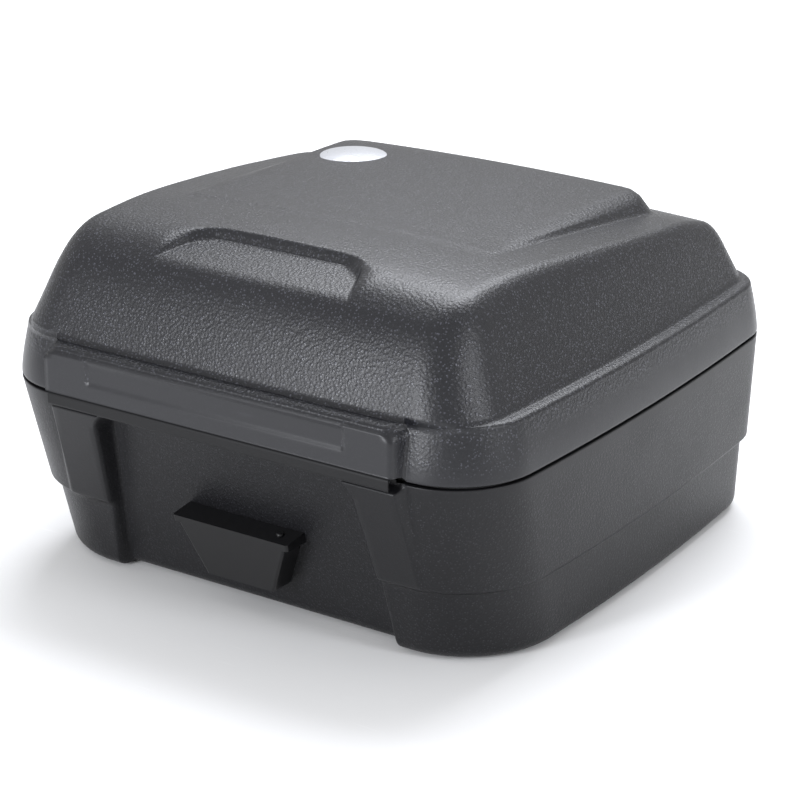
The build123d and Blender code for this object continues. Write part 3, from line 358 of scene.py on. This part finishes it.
def pilaster_edge(z):
    """Outer edge of a pilaster at height z."""
    return RECESS_HALF_TOP + PILASTER_WIDTH + PILASTER_FLARE * (RIM - z) / (RIM - PILASTER_FOOT)


def tub_front(points, z, inset, rounding):
    """Moves the hinge side's points onto the pilasters, the recessed panel and the hinge's hollow."""
    x, y = points[:, 0].copy(), points[:, 1].copy()
    count = N_COLUMNS + 1
    xf, yf = x[:count], y[:count]
    face = FRONT - PILASTER_PROUD + PILASTER_LEAN * (RIM - z) + inset
    recess = FRONT + RECESS_DEPTH + RECESS_LEAN * (RIM - z) + inset
    recess_top = RIM - RECESS_TOP_GAP - WALL
    ramp = smooth_step(PILASTER_FOOT, PILASTER_FOOT + PILASTER_CHAMFER, z)
    outer = pilaster_edge(z)
    on_pilaster = ramp * (1.0 - smooth_step(outer - PILASTER_BLEND, outer + PILASTER_BLEND, np.abs(xf)))
    yf = yf + (np.minimum(face, yf) - yf) * on_pilaster
    distance = rounded_distance(xf, np.full_like(xf, z), recess_edge(z) + inset, recess_top + inset,
                                RECESS_CORNER + inset)
    in_recess = 1.0 - smooth_step(-RECESS_BLEND, RECESS_BLEND, distance)
    yf = yf + (np.maximum(recess + rounding, yf) - yf) * in_recess
    near_axis = SWING_RADIUS**2 - (z - AXIS_Z) ** 2
    if near_axis > 0.0 and inset == 0.0:
        hollow = AXIS_Y + math.sqrt(near_axis)
        along = 1.0 - smooth_step(PANEL_HALF, PANEL_HALF + 2.0, np.abs(xf))
        yf = yf + (np.maximum(yf, hollow) - yf) * along
    y[:count] = yf
    return np.stack([x, y, np.full_like(x, z)], 1)


def tub_loop(z, inset=0.0, drawn_in=0.0):
    """One loop round the tub at height z; drawn_in narrows it for the rounding along the bottom."""
    half, front, rear, radii = tub_level(z, inset)
    half, front, rear = half - drawn_in, front + drawn_in, rear - drawn_in
    radii = tuple(max(radius - drawn_in, LEAST_CORNER) for radius in radii)
    side_line = SIDE_LINE_TOP - SIDE_LINE_FALL * (RIM - z) / RIM
    edges = (recess_edge(z) / END_SCALE, pilaster_edge(z) / END_SCALE, side_line)
    loop = ring(half, front, rear, radii, edges, (*TUB_REAR_LINES, side_line), TUB_SIDE_LINES)
    return tub_front(loop, z, inset, drawn_in)


def make_tub():
    """Outer wall, rim, inner wall and floor as one closed moulding."""
    turn = np.linspace(0.0, math.pi / 2, 9)
    loops = []
    for angle in turn:
        z = BASE + BASE_ROUND * (1.0 - math.sin(angle))
        loops.append(tub_loop(z, 0.0, BASE_ROUND * (1.0 - math.cos(angle))))
    loops = loops[::-1]
    outer_heights = np.concatenate([
        np.linspace(BASE + BASE_ROUND, STEP_Z - 9.0, 8)[1:],
        np.linspace(STEP_Z - 9.0, STEP_Z + 9.0, 25)[1:],
        np.linspace(STEP_Z + 9.0, RIM - 24.0, 13)[1:], np.linspace(RIM - 24.0, RIM - RIM_ROUND, 26)[1:]])
    loops += [tub_loop(z) for z in outer_heights]
    for share in (0.35, 0.75, 1.0):
        angle = share * math.pi / 2
        height = RIM - RIM_ROUND + RIM_ROUND * math.sin(angle)
        loops.append(tub_loop(height, 0.0, RIM_ROUND * (1.0 - math.cos(angle))))
    flat = tub_loop(RIM, RIM_INSET)
    flat[:, 2] = RIM
    loops.append(flat)
    inner_heights = np.concatenate([
        np.linspace(RIM - 0.6, RIM - 5.5, 4), np.linspace(RIM - 10.0, STEP_Z + 9.0, 10),
        np.linspace(STEP_Z + 7.0, STEP_Z - 7.0, 10),
        np.linspace(STEP_Z - 13.0, BASE + FLOOR_THICKNESS + INNER_ROUND, 5)])
    for z in inner_heights:
        inset = RIM_INSET if z > RIM - 6.0 else WALL
        loops.append(tub_loop(z, inset))
    for angle in np.linspace(0.0, math.pi / 2, 5)[1:]:
        z = BASE + FLOOR_THICKNESS + INNER_ROUND * (1.0 - math.sin(angle))
        loops.append(tub_loop(z, WALL, INNER_ROUND * (1.0 - math.cos(angle))))
    return shell_mesh("tub", loops, tub_cap(loops[0]), tub_cap(loops[-1]))


def tub_cap(loop):
    """Flat grid inside a loop."""
    z = loop[0, 2]
    front, right = loop[: N_COLUMNS + 1], loop[N_COLUMNS: N_COLUMNS + N_ROWS + 1]
    xs, ys = front[:, 0], right[:, 1]
    base_x, base_y = np.meshgrid(xs, ys)
    grid = cap_points(loop[:, :2], base_x, base_y, 60.0)
    return np.concatenate([grid, np.full(grid.shape[:2] + (1,), z)], -1)


# ---------------------------------------------------------------- lid


def scoop_half(y):
    """Half width of the scoop, which widens towards the hinge side."""
    return SCOOP_HALF_REAR + SCOOP_FLARE * np.clip(CREST_Y - y, 0.0, None)


def along_plateau(y):
    """0 where the plateau starts, 1 at the top of its lock side."""
    return np.clip((y - PLATEAU_START) / (PLATEAU_REAR - PLATEAU_START), 0.0, 1.0)


def plateau_half(y):
    """Half width of the plateau."""
    return PLATEAU_HALF + PLATEAU_GROWTH * along_plateau(y)


def lid_top(x, y, inset):
    """Height of the lid's top. The front slope follows a circle up to the crest and then its tangent; the
    shoulder follows a longer circle; the lower of the two, rounded, carries the plateau and the scoop."""
    foot, bend, crest = (FRONT, DOME_FOOT), (FRONT + 24.0, CREST_Z - 27.0), (CREST_Y, CREST_Z + CREST_LIFT)
    circle = circle_height(np.minimum(y, CREST_Y), foot, bend, crest)
    pitch = circle_height(CREST_Y, foot, bend, crest) - circle_height(CREST_Y - 1.0, foot, bend, crest)
    slope = circle + pitch * np.clip(y - CREST_Y, 0.0, None)
    shoulder = circle_height(y, crest, SHOULDER_MID, (PLATEAU_REAR, SHOULDER_REAR_Z))
    tail = SHOULDER_REAR_Z - TAIL_FALL * (y - PLATEAU_REAR - 6.0)
    z = soft_min(soft_min(slope, shoulder, 16.0), tail, 10.0)
    z = z - CROSS_BOW * (x / CROSS_BOW_HALF) ** 2
    rise = PLATEAU_RISE * along_plateau(y)
    inward = -rounded_distance(x, y, plateau_half(y), PLATEAU_REAR + PLATEAU_MARGIN, PLATEAU_CORNER)
    climb = soft_min(np.clip(rise, 0.0, None), PLATEAU_WALL * (inward + 1.0), 5.0)
    z = z + soft_max(climb, 0.0, 2.0) * (rise > 0.0)
    beyond = rounded_distance(x, y, scoop_half(y), CREST_Y, SCOOP_CORNER)
    floor = SCOOP_FLOOR_Z - SCOOP_FALL * (CREST_Y - y) + 1.5 * np.clip(beyond + 3.0, 0.0, None)
    z = soft_min(z, floor, 3.0)
    return z - inset


def dome_edges(drawn_in):
    """Feature lines across the lid's long side, drawn towards the cap's as the loops close in."""
    share = np.clip(drawn_in / DOME_REACH, 0.0, 1.0)
    y = FRONT + LEDGE / 2 + drawn_in
    e1 = scoop_half(y)
    e2 = PLATEAU_HALF - 2.0 * share
    e3 = PANEL_HALF / END_SCALE * (1.0 - share) + CAP_LINE * share
    return (e1 + (POCKET_HALF - e1) * (1.0 - smooth_step(0.0, 12.0, drawn_in)), e2, e3)


def dome_loop(drawn_in, inset=0.0):
    """Loop round the dome at a distance in from its foot."""
    half = HALF - BAND_DRAFT - LEDGE - drawn_in - inset
    front = FRONT + LEDGE / 2 + drawn_in + inset
    rear = REAR - BAND_DRAFT - LEDGE - drawn_in - inset
    radii = tuple(max(radius - BAND_DRAFT - LEDGE - 0.33 * drawn_in, 12.0)
                  for radius in (FRONT_CORNER, REAR_CORNER))
    loop = ring(half, front, rear, radii, dome_edges(drawn_in), dome_edges(drawn_in),
                (CREST_Y, min(LID_REAR_LINE, rear - radii[1] - 4.0)))
    x, y = loop[:, 0], loop[:, 1]
    wall = dome_wall(drawn_in, x, y)
    rearward = smooth_step(-140.0, 60.0, y)
    rounding = DOME_ROUND_FRONT + (DOME_ROUND_REAR - DOME_ROUND_FRONT) * rearward
    z = soft_min(wall, lid_top(x, y, inset), rounding)
    return np.stack([x, y, z], 1)


def dome_wall(drawn_in, x, y):
    """Height of the leaning wall: steeper on the hinge side."""
    facing = smooth_step(0.6, 1.0, -y / REAR) * (1.0 - smooth_step(140.0, 190.0, np.abs(x)))
    lean = DOME_LEAN + (DOME_FRONT_LEAN - DOME_LEAN) * facing
    return DOME_FOOT + drawn_in / lean


def lid_cap(loop, inset):
    """Top of the lid inside the last loop of the dome."""
    front, right = loop[: N_COLUMNS + 1], loop[N_COLUMNS: N_COLUMNS + N_ROWS + 1]
    ys = right[:, 1]
    half = HALF - BAND_DRAFT - LEDGE - DOME_REACH - inset
    base_x = np.stack([columns((scoop_half(y), plateau_half(y), min(plateau_half(y) + 7.5, half - 4.0)),
                               half - 2.0, half) for y in ys])
    base_y = np.repeat(ys[:, None], base_x.shape[1], 1)
    grid = cap_points(loop[:, :2], base_x, base_y)
    z = lid_top(grid[..., 0], grid[..., 1], inset)
    return np.concatenate([grid, z[..., None]], -1)


def band_loop(z, inset=0.0, drawn_in=0.0):
    """Loop round the lid's band at height z, with the hinge panel standing proud."""
    up = np.clip((z - LID_FOOT) / (BAND_TOP - LID_FOOT), 0.0, 1.0)
    draw = BAND_DRAFT * up**1.4 + inset + drawn_in
    edges = (POCKET_HALF, PLATEAU_HALF, PANEL_HALF / END_SCALE)
    radii = (FRONT_CORNER - draw, REAR_CORNER - draw)
    loop = ring(HALF - draw, FRONT + draw, REAR - draw, radii, edges, edges, (CREST_Y, LID_REAR_LINE))
    return panel_front(loop, np.full(len(loop), z), inset)


def panel_front(loop, z, inset):
    """Brings the hinge side's points out to the flat hinge panel with its shallow pocket."""
    x, y = loop[:, 0].copy(), loop[:, 1].copy()
    z = np.array(z, float)
    count = N_COLUMNS + 1
    distance = rounded_distance(x[:count], z[:count], PANEL_HALF - inset, PANEL_TOP - inset, PANEL_CORNER)
    on_panel = 1.0 - smooth_step(-3.2, 1.2, distance)
    face = np.full(count, PANEL_FACE + inset)
    if inset == 0.0:
        across = smooth_step(-POCKET_HALF - 1.2, 1.2 - POCKET_HALF, -np.abs(x[:count]))
        above = smooth_step(POCKET_FOOT - 1.4, POCKET_FOOT + 1.4, z[:count])
        below = 1.0 - smooth_step(PANEL_TOP - 7.0, PANEL_TOP - 3.0, z[:count])
        face += POCKET_DEPTH * across * above * below
    y[:count] += (face - y[:count]) * on_panel
    loop = np.stack([x, y, z], 1)
    return lift_over_channel(loop, inset) if z[0] < BEAD_TOP + 1.0 else loop


def make_lid():
    """Dome, ledge, band, lower edge, seal groove and inner wall as one closed moulding."""
    distances = np.concatenate([np.linspace(DOME_REACH, 20.0, 12), np.linspace(17.5, 0.0, 12)])
    loops = [dome_loop(distance) for distance in distances]
    for share in np.linspace(0.0, 1.0, 9)[1:]:
        angle = share * math.pi / 2
        z = DOME_FOOT - (DOME_FOOT - BAND_TOP) * share**2
        loop = blend_loops(dome_loop(0.0), band_loop(BAND_TOP, 0.0), math.sin(angle), z)
        loops.append(loop)
    low_band = np.linspace(POCKET_FOOT - 3.0, LID_FOOT + 0.8, 9)
    for z in np.concatenate([np.linspace(BAND_TOP, POCKET_FOOT - 3.0, 18)[1:], low_band[1:]]):
        loops.append(band_loop(z))
    loops += lid_lower_edge()
    for z in np.linspace(LID_FOOT + 7.0, BAND_TOP - 4.0, 6):
        loops.append(band_loop(z, WALL))
    for d in (0.0, 4.0, 9.0, 15.0, 22.0, 30.0, 39.0, DOME_REACH):
        loops.append(dome_loop(d, WALL))
    return shell_mesh("lid", loops, lid_cap(loops[0], 0.0), lid_cap(loops[-1], WALL))


def blend_loops(upper, lower, share, z):
    """Loop at height z, a share of the way from one loop to another in x and y."""
    x = upper[:, 0] + (lower[:, 0] - upper[:, 0]) * share
    y = upper[:, 1] + (lower[:, 1] - upper[:, 1]) * share
    return np.stack([x, y, np.full_like(x, z)], 1)


def lid_lower_edge():
    """Rounded lower edge, inner face, and the groove with its rib that holds the seal."""
    loops = []
    foot = LID_FOOT
    ring_z = SEAL_TOP
    rib_in, rib_out = WALL + 4.0, WALL + 6.0
    places = [(foot + 0.3, 0.0, 0.25), (foot, 0.0, 0.9), (foot, WALL, -0.5), (foot + 0.4, WALL, 0.0),
              (ring_z, WALL, 0.0), (ring_z, rib_in, 0.0), (foot, rib_in, 0.0), (foot, rib_out, 0.0),
              (ring_z + 3.0, rib_out, 0.0), (ring_z + 3.0, WALL + 0.6, 0.0)]
    for z, inset, drawn_in in places:
        loops.append(band_loop(z, inset, drawn_in))
    return loops


def lift_over_channel(loop, inset):
    """Keeps the lower edge above the hinge channel over the panel's width."""
    count = N_COLUMNS + 1
    clear = BEAD_TOP + 0.05
    over = 1.0 - smooth_step(PANEL_HALF - 0.5, PANEL_HALF + 1.5, np.abs(loop[:count, 0]))
    low = loop[:count, 2]
    if inset <= WALL:
        loop[:count, 2] = low + (np.maximum(low, clear) - low) * over
    return loop


# ---------------------------------------------------------------- materials


def new_group(name, inputs, outputs):
    """Empty node group with float or vector sockets; returns the tree, its inputs and its outputs."""
    tree = bpy.data.node_groups.new(name, "ShaderNodeTree")
    for label, kind in inputs:
        tree.interface.new_socket(label, in_out="INPUT", socket_type=kind)
    for label, kind in outputs:
        tree.interface.new_socket(label, in_out="OUTPUT", socket_type=kind)
    return tree, tree.nodes.new("NodeGroupInput"), tree.nodes.new("NodeGroupOutput")


def math_node(tree, operation, first, second):
    """Math node whose operands are sockets or numbers; returns its result."""
    node = tree.nodes.new("ShaderNodeMath")
    node.operation = operation
    for socket, value in zip(node.inputs, (first, second)):
        if isinstance(value, (int, float)):
            socket.default_value = value
        else:
            tree.links.new(value, socket)
    return node.outputs[0]


def noise_node(tree, vector, scale, detail):
    """Noise value between about 0.3 and 0.7; scale is a number or a socket."""
    node = tree.nodes.new("ShaderNodeTexNoise")
    node.inputs["Detail"].default_value = detail
    tree.links.new(vector, node.inputs["Vector"])
    if isinstance(scale, (int, float)):
        node.inputs["Scale"].default_value = scale
    else:
        tree.links.new(scale, node.inputs["Scale"])
    return node.outputs["Fac"]


def pebble_group():
    """Moulded pebble grain: rounded cells broken up by two noises, as height, peaks and bent normal. The
    peaks also say where the painted glints go.
    """
    tree, given, out = new_group(
        "pebble_grain",
        [("Vector", "NodeSocketVector"), ("Amount", "NodeSocketFloat"), ("Scale", "NodeSocketFloat"),
         ("Depth", "NodeSocketFloat")],
        [("Height", "NodeSocketFloat"), ("PeaksAndGlints", "NodeSocketFloat"), ("Normal", "NodeSocketVector")])
    cells = tree.nodes.new("ShaderNodeTexVoronoi")
    cells.feature = "SMOOTH_F1"
    cells.inputs["Smoothness"].default_value = 0.35
    warp = tree.nodes.new("ShaderNodeTexNoise")
    warp.inputs["Detail"].default_value = 2.0
    tree.links.new(given.outputs["Vector"], warp.inputs["Vector"])
    tree.links.new(math_node(tree, "MULTIPLY", given.outputs["Scale"], 0.8), warp.inputs["Scale"])
    shift = tree.nodes.new("ShaderNodeVectorMath")
    shift.operation = "MULTIPLY_ADD"
    shift.inputs[1].default_value = (0.0016, 0.0016, 0.0016)
    tree.links.new(warp.outputs["Color"], shift.inputs[0])
    tree.links.new(given.outputs["Vector"], shift.inputs[2])
    tree.links.new(shift.outputs[0], cells.inputs["Vector"])
    tree.links.new(given.outputs["Scale"], cells.inputs["Scale"])
    fine = noise_node(tree, given.outputs["Vector"], 2600.0, 3.0)
    round_top = math_node(tree, "SUBTRACT", 1.0, cells.outputs["Distance"])
    height = math_node(tree, "ADD", round_top, math_node(tree, "MULTIPLY", fine, 0.35))
    grained = math_node(tree, "MULTIPLY", height, given.outputs["Amount"])
    satin = math_node(tree, "MULTIPLY", fine, 0.10)
    total = math_node(tree, "ADD", grained, satin)
    bump = tree.nodes.new("ShaderNodeBump")
    bump.inputs["Strength"].default_value = 1.0
    tree.links.new(given.outputs["Depth"], bump.inputs["Distance"])
    tree.links.new(total, bump.inputs["Height"])
    # peaks: the grain's tops; they set the roughness and where the painted glints go
    peaks = tree.nodes.new("ShaderNodeMapRange")
    peaks.inputs["From Min"].default_value = 0.86
    peaks.inputs["From Max"].default_value = 1.08
    tree.links.new(height, peaks.inputs["Value"])
    tree.links.new(total, out.inputs["Height"])
    shown_peaks_and_glints = math_node(tree, "MULTIPLY", peaks.outputs[0], given.outputs["Amount"])
    tree.links.new(shown_peaks_and_glints, out.inputs["PeaksAndGlints"])
    tree.links.new(bump.outputs["Normal"], out.inputs["Normal"])
    return tree


def handling_group():
    """Handling marks: broad patches and thin scratches, each as a mask from 0 to 1."""
    tree, given, out = new_group(
        "handling_marks",
        [("Vector", "NodeSocketVector"), ("Scale", "NodeSocketFloat")],
        [("Patches", "NodeSocketFloat"), ("Scratches", "NodeSocketFloat")])
    broad_scale = math_node(tree, "MULTIPLY", given.outputs["Scale"], 14.0)
    broad = noise_node(tree, given.outputs["Vector"], broad_scale, 4.0)
    patch = tree.nodes.new("ShaderNodeMapRange")
    patch.inputs["From Min"].default_value = 0.42
    patch.inputs["From Max"].default_value = 0.68
    tree.links.new(broad, patch.inputs["Value"])
    stretch = tree.nodes.new("ShaderNodeMapping")
    stretch.inputs["Rotation"].default_value = (0.3, 0.5, 0.7)
    stretch.inputs["Scale"].default_value = (1.0, 22.0, 9.0)
    tree.links.new(given.outputs["Vector"], stretch.inputs["Vector"])
    thin_scale = math_node(tree, "MULTIPLY", given.outputs["Scale"], 18.0)
    thin = noise_node(tree, stretch.outputs[0], thin_scale, 2.0)
    scratch = tree.nodes.new("ShaderNodeMapRange")
    scratch.inputs["From Min"].default_value = 0.70
    scratch.inputs["From Max"].default_value = 0.76
    tree.links.new(thin, scratch.inputs["Value"])
    tree.links.new(patch.outputs[0], out.inputs["Patches"])
    tree.links.new(scratch.outputs[0], out.inputs["Scratches"])
    return tree


PEBBLE = pebble_group()
HANDLING = handling_group()


def mix_colour(tree, factor, first, second):
    """Colour between two colours or sockets."""
    node = tree.nodes.new("ShaderNodeMix")
    node.data_type = "RGBA"
    tree.links.new(factor, node.inputs[0])
    for socket, value in ((node.inputs[6], first), (node.inputs[7], second)):
        if isinstance(value, tuple):
            socket.default_value = (*value, 1.0)
        else:
            tree.links.new(value, socket)
    return node.outputs[2]


def surface(name, colour, painted_glint_colour, roughness, scale, depth, amount=1.0, grain_attribute=False,
            metallic=0.0, specular=0.5, wear=None, coat=0.0):
    """Material with grain, handling patches and scratches. roughness runs from peaks to valleys. The
    grain's peaks get a lighter colour: painted glints that stand in for light sparkling on the grain.
    """
    material = bpy.data.materials.new(name)
    material.use_nodes = True
    tree = material.node_tree
    shader = tree.nodes["Principled BSDF"]
    place = tree.nodes.new("ShaderNodeTexCoord")
    grain = tree.nodes.new("ShaderNodeGroup")
    grain.node_tree = PEBBLE
    grain.inputs["Scale"].default_value = scale
    grain.inputs["Depth"].default_value = depth
    grain.inputs["Amount"].default_value = amount
    tree.links.new(place.outputs["Object"], grain.inputs["Vector"])
    if grain_attribute:
        attribute = tree.nodes.new("ShaderNodeAttribute")
        attribute.attribute_name = "grain"
        tree.links.new(attribute.outputs["Fac"], grain.inputs["Amount"])
    marks = tree.nodes.new("ShaderNodeGroup")
    marks.node_tree = HANDLING
    marks.inputs["Scale"].default_value = 1.0
    tree.links.new(place.outputs["Object"], marks.inputs["Vector"])
    # painted glints: the grain's peaks take the lighter second colour, as if they caught the light
    tone_with_painted_glints = mix_colour(tree, grain.outputs["PeaksAndGlints"], colour, painted_glint_colour)
    worn = wear or tuple(min(1.0, 1.9 * c + 0.01) for c in colour)
    faint = math_node(tree, "MULTIPLY", marks.outputs["Scratches"], 0.35)
    tree.links.new(mix_colour(tree, faint, tone_with_painted_glints, worn), shader.inputs["Base Color"])
    low, high = roughness
    base = math_node(tree, "MULTIPLY", grain.outputs["PeaksAndGlints"], low - high)
    rough = math_node(tree, "ADD", base, high)
    patchy = math_node(tree, "MULTIPLY", marks.outputs["Patches"], 0.05)
    tree.links.new(math_node(tree, "ADD", rough, patchy), shader.inputs["Roughness"])
    tree.links.new(grain.outputs["Normal"], shader.inputs["Normal"])
    shader.inputs["Metallic"].default_value = metallic
    shader.inputs["Specular IOR Level"].default_value = specular
    shader.inputs["Coat Weight"].default_value = coat
    shader.inputs["Coat Roughness"].default_value = 0.15
    return material


def give(piece, material):
    """Puts one material on a piece."""
    piece.data.materials.clear()
    piece.data.materials.append(material)


def store_grain(piece, amount):
    """Keeps the grain's strength at every vertex."""
    attribute = piece.data.attributes.new("grain", "FLOAT", "POINT")
    attribute.data.foreach_set("value", np.asarray(amount, np.float32))


def vertex_places(piece):
    """Vertices of a piece in millimetres, as three columns."""
    places = np.empty(len(piece.data.vertices) * 3, np.float32)
    piece.data.vertices.foreach_get("co", places)
    return (places.reshape(-1, 3) / MM).T


def lid_grain(piece):
    """Full on the dome, fading down the band to satin; satin on the hinge panel."""
    x, y, z = vertex_places(piece)
    band = 0.10 + 0.90 * smooth_step(BAND_TOP - 17.0, BAND_TOP - 3.0, z)
    near_corner = smooth_step(90.0, 200.0, -y) * smooth_step(110.0, 160.0, x)
    band = np.maximum(band, 0.8 * near_corner * smooth_step(LID_FOOT + 2.0, LID_FOOT + 14.0, z))
    panel = smooth_step(FRONT - 4.0, FRONT - 7.0, y)
    panel = panel * (1.0 - smooth_step(PANEL_TOP - 4.0, PANEL_TOP + 1.0, z))
    # grain turned up at the pocket's ends, and with it the painted glints: a painted highlight for the
    # light the end walls catch
    pocket_end_grain_and_glints = smooth_step(3.0, 0.5, np.abs(np.abs(x) - POCKET_HALF)) * (z > POCKET_FOOT)
    satin = np.clip(0.08 + 0.9 * pocket_end_grain_and_glints, 0.0, 1.0)
    store_grain(piece, band + (satin - band) * panel)


def tub_grain(piece):
    """Nearly full on the walls, satin below the rim and on the pilasters."""
    x, y, z = vertex_places(piece)
    rim = smooth_step(RIM - 16.0, RIM - 3.0, z)
    amount = 0.75 - 0.6 * rim
    front = y < FRONT + 40.0
    pilaster = front * smooth_step(recess_edge(z) - 1.0, recess_edge(z) + 3.0, np.abs(x))
    pilaster = pilaster * (1.0 - smooth_step(pilaster_edge(z) - 3.0, pilaster_edge(z) + 1.0, np.abs(x)))
    store_grain(piece, amount * (1.0 - 0.75 * pilaster * (z > PILASTER_FOOT)))


# ---------------------------------------------------------------- camera, light and floor


CAMERA_AZIMUTH, CAMERA_ELEVATION = math.radians(33.8), math.radians(21.0)
CAMERA_DISTANCE = 1.776
CAMERA_TARGET = (0.0596, -0.082, 0.1375)
CAMERA_LENS, CAMERA_SENSOR = 117.0, 36.0
COOL = (0.93, 0.95, 1.0)
CORNER_AIM = (0.17, -0.19, 0.2)         # the near corner of the lid
LAMPS = [                               # name, place, aim, width and height, power
    ("overhead", (-0.2, 0.9, 1.7), (0.0, 0.0, 0.15), (1.5, 1.1), 44.0),
    ("left_front", (-0.50, -2.25, 0.68), CORNER_AIM, (0.42, 0.85), 34.0),
    ("right_front", (2.15, -0.19, 0.98), CORNER_AIM, (0.42, 0.75), 15.0),
]
WORLD_STRENGTH = 0.68
FLOOR_HALF = 6.0


def make_camera():
    """Three-quarter view from the hinge side and a little above."""
    level = math.cos(CAMERA_ELEVATION)
    back = Vector((math.sin(CAMERA_AZIMUTH) * level, -math.cos(CAMERA_AZIMUTH) * level,
                   math.sin(CAMERA_ELEVATION)))
    data = bpy.data.cameras.new("camera")
    data.lens = CAMERA_LENS
    data.sensor_width = CAMERA_SENSOR
    camera = bpy.data.objects.new("camera", data)
    bpy.context.scene.collection.objects.link(camera)
    camera.location = Vector(CAMERA_TARGET) + back * CAMERA_DISTANCE
    camera.rotation_mode = "QUATERNION"
    camera.rotation_quaternion = (-back).to_track_quat("-Z", "Y")
    bpy.context.scene.camera = camera


def area_light(name, place, target, size, power):
    """Rectangular soft light aimed at a point."""
    data = bpy.data.lights.new(name, "AREA")
    data.shape = "RECTANGLE"
    data.size, data.size_y = size
    data.energy = power
    data.color = COOL
    light = bpy.data.objects.new(name, data)
    bpy.context.scene.collection.objects.link(light)
    light.location = place
    light.rotation_mode = "QUATERNION"
    light.rotation_quaternion = (Vector(target) - Vector(place)).to_track_quat("-Z", "Y")


def make_floor():
    """Plain pale floor, large enough for every view."""
    corners = [(-FLOOR_HALF, -FLOOR_HALF, 0), (FLOOR_HALF, -FLOOR_HALF, 0),
               (FLOOR_HALF, FLOOR_HALF, 0), (-FLOOR_HALF, FLOOR_HALF, 0)]
    points = np.array(corners) / MM
    floor = mesh_from("floor", points, np.array([[0, 1, 2, 3]]))
    # second colour: faint painted glints on the floor's grain
    give(floor, surface("pale_floor", (0.90, 0.90, 0.90), (0.92, 0.92, 0.92), (0.7, 0.8), 60.0, 0.00005,
                        amount=0.2))


def make_world():
    """Even white surroundings."""
    world = bpy.data.worlds.new("studio")
    world.use_nodes = True
    world.node_tree.nodes["Background"].inputs["Color"].default_value = (1.0, 1.0, 1.0, 1.0)
    world.node_tree.nodes["Background"].inputs["Strength"].default_value = WORLD_STRENGTH
    bpy.context.scene.world = world
    bpy.context.scene.view_settings.view_transform = "Standard"


# ---------------------------------------------------------------- assembly

make_camera()
make_world()
make_floor()
for lamp in LAMPS:
    area_light(*lamp)

# second colour of each: painted glints, a lighter colour on the grain's peaks that stands in for the
# sparkle of light
lid_plastic = surface("lid_plastic", (0.0075, 0.0078, 0.0105), (0.075, 0.077, 0.094), (0.20, 0.34),
                      480.0, 0.00022, grain_attribute=True, specular=0.5)
tub_plastic = surface("tub_plastic", (0.0065, 0.0065, 0.0078), (0.036, 0.036, 0.042), (0.26, 0.40),
                      560.0, 0.00018, grain_attribute=True, specular=0.32)

lid = make_lid()
give(lid, lid_plastic)
lid_grain(lid)
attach(lid, "lid")
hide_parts("lid_shell")

tub = make_tub()
give(tub, tub_plastic)
tub_grain(tub)
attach(tub, "tub")
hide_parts("tub_shell")

# second colour of each: painted glints on the grain's peaks
satin_black = surface("satin_plastic", (0.010, 0.010, 0.0108), (0.015, 0.015, 0.016), (0.38, 0.46),
                      900.0, 0.00006, amount=0.35, specular=0.22)
gloss_black = surface("gloss_plastic", (0.004, 0.004, 0.0048), (0.006, 0.006, 0.007), (0.20, 0.30),
                      400.0, 0.00004, amount=0.25, specular=0.4)
zinc = surface("zinc_steel", (0.42, 0.42, 0.40), (0.52, 0.52, 0.50), (0.32, 0.46),
               700.0, 0.00003, amount=0.6, metallic=1.0, wear=(0.65, 0.65, 0.63))
chrome = surface("bright_chrome", (0.62, 0.62, 0.64), (0.68, 0.68, 0.70), (0.10, 0.16),
                 300.0, 0.00001, amount=0.5, metallic=1.0, wear=(0.5, 0.5, 0.5))
rubber = surface("black_rubber", (0.014, 0.014, 0.014), (0.022, 0.022, 0.022), (0.62, 0.78), 900.0, 0.00012,
                 specular=0.3)
red_lens = surface("red_lens", (0.42, 0.006, 0.006), (0.62, 0.02, 0.015), (0.12, 0.20),
                   330.0, 0.0003, amount=1.0, coat=0.6)
silver = surface("silver_badge", (0.52, 0.53, 0.56), (0.62, 0.63, 0.66), (0.22, 0.34),
                 260.0, 0.00010, amount=0.8, metallic=0.7, wear=(0.45, 0.45, 0.47))

FINISHES = {
    "hinge_channel": satin_black, "hinge_leaf": satin_black, "lock_housing": satin_black,
    "wedge_bracket": gloss_black, "wedge_stud": gloss_black,
    "hinge_rod": zinc, "leaf_rivets": zinc, "channel_rivets": zinc, "base_plate": zinc,
    "plate_screws": zinc, "wedge_screws": zinc, "housing_screws": zinc, "lock_nut": zinc, "lock_cam": zinc, "cam_screw": zinc,
    "striker": zinc, "striker_screws": zinc,
    "lock_body": chrome, "lock_plug": chrome,
    "floor_mat": rubber, "underside_pads": rubber, "lid_seal": rubber,
    "rear_reflector_left": red_lens, "rear_reflector_right": red_lens,
    "badge": silver,
}
for node, material in FINISHES.items():
    give(frame["nodes"][node], material)
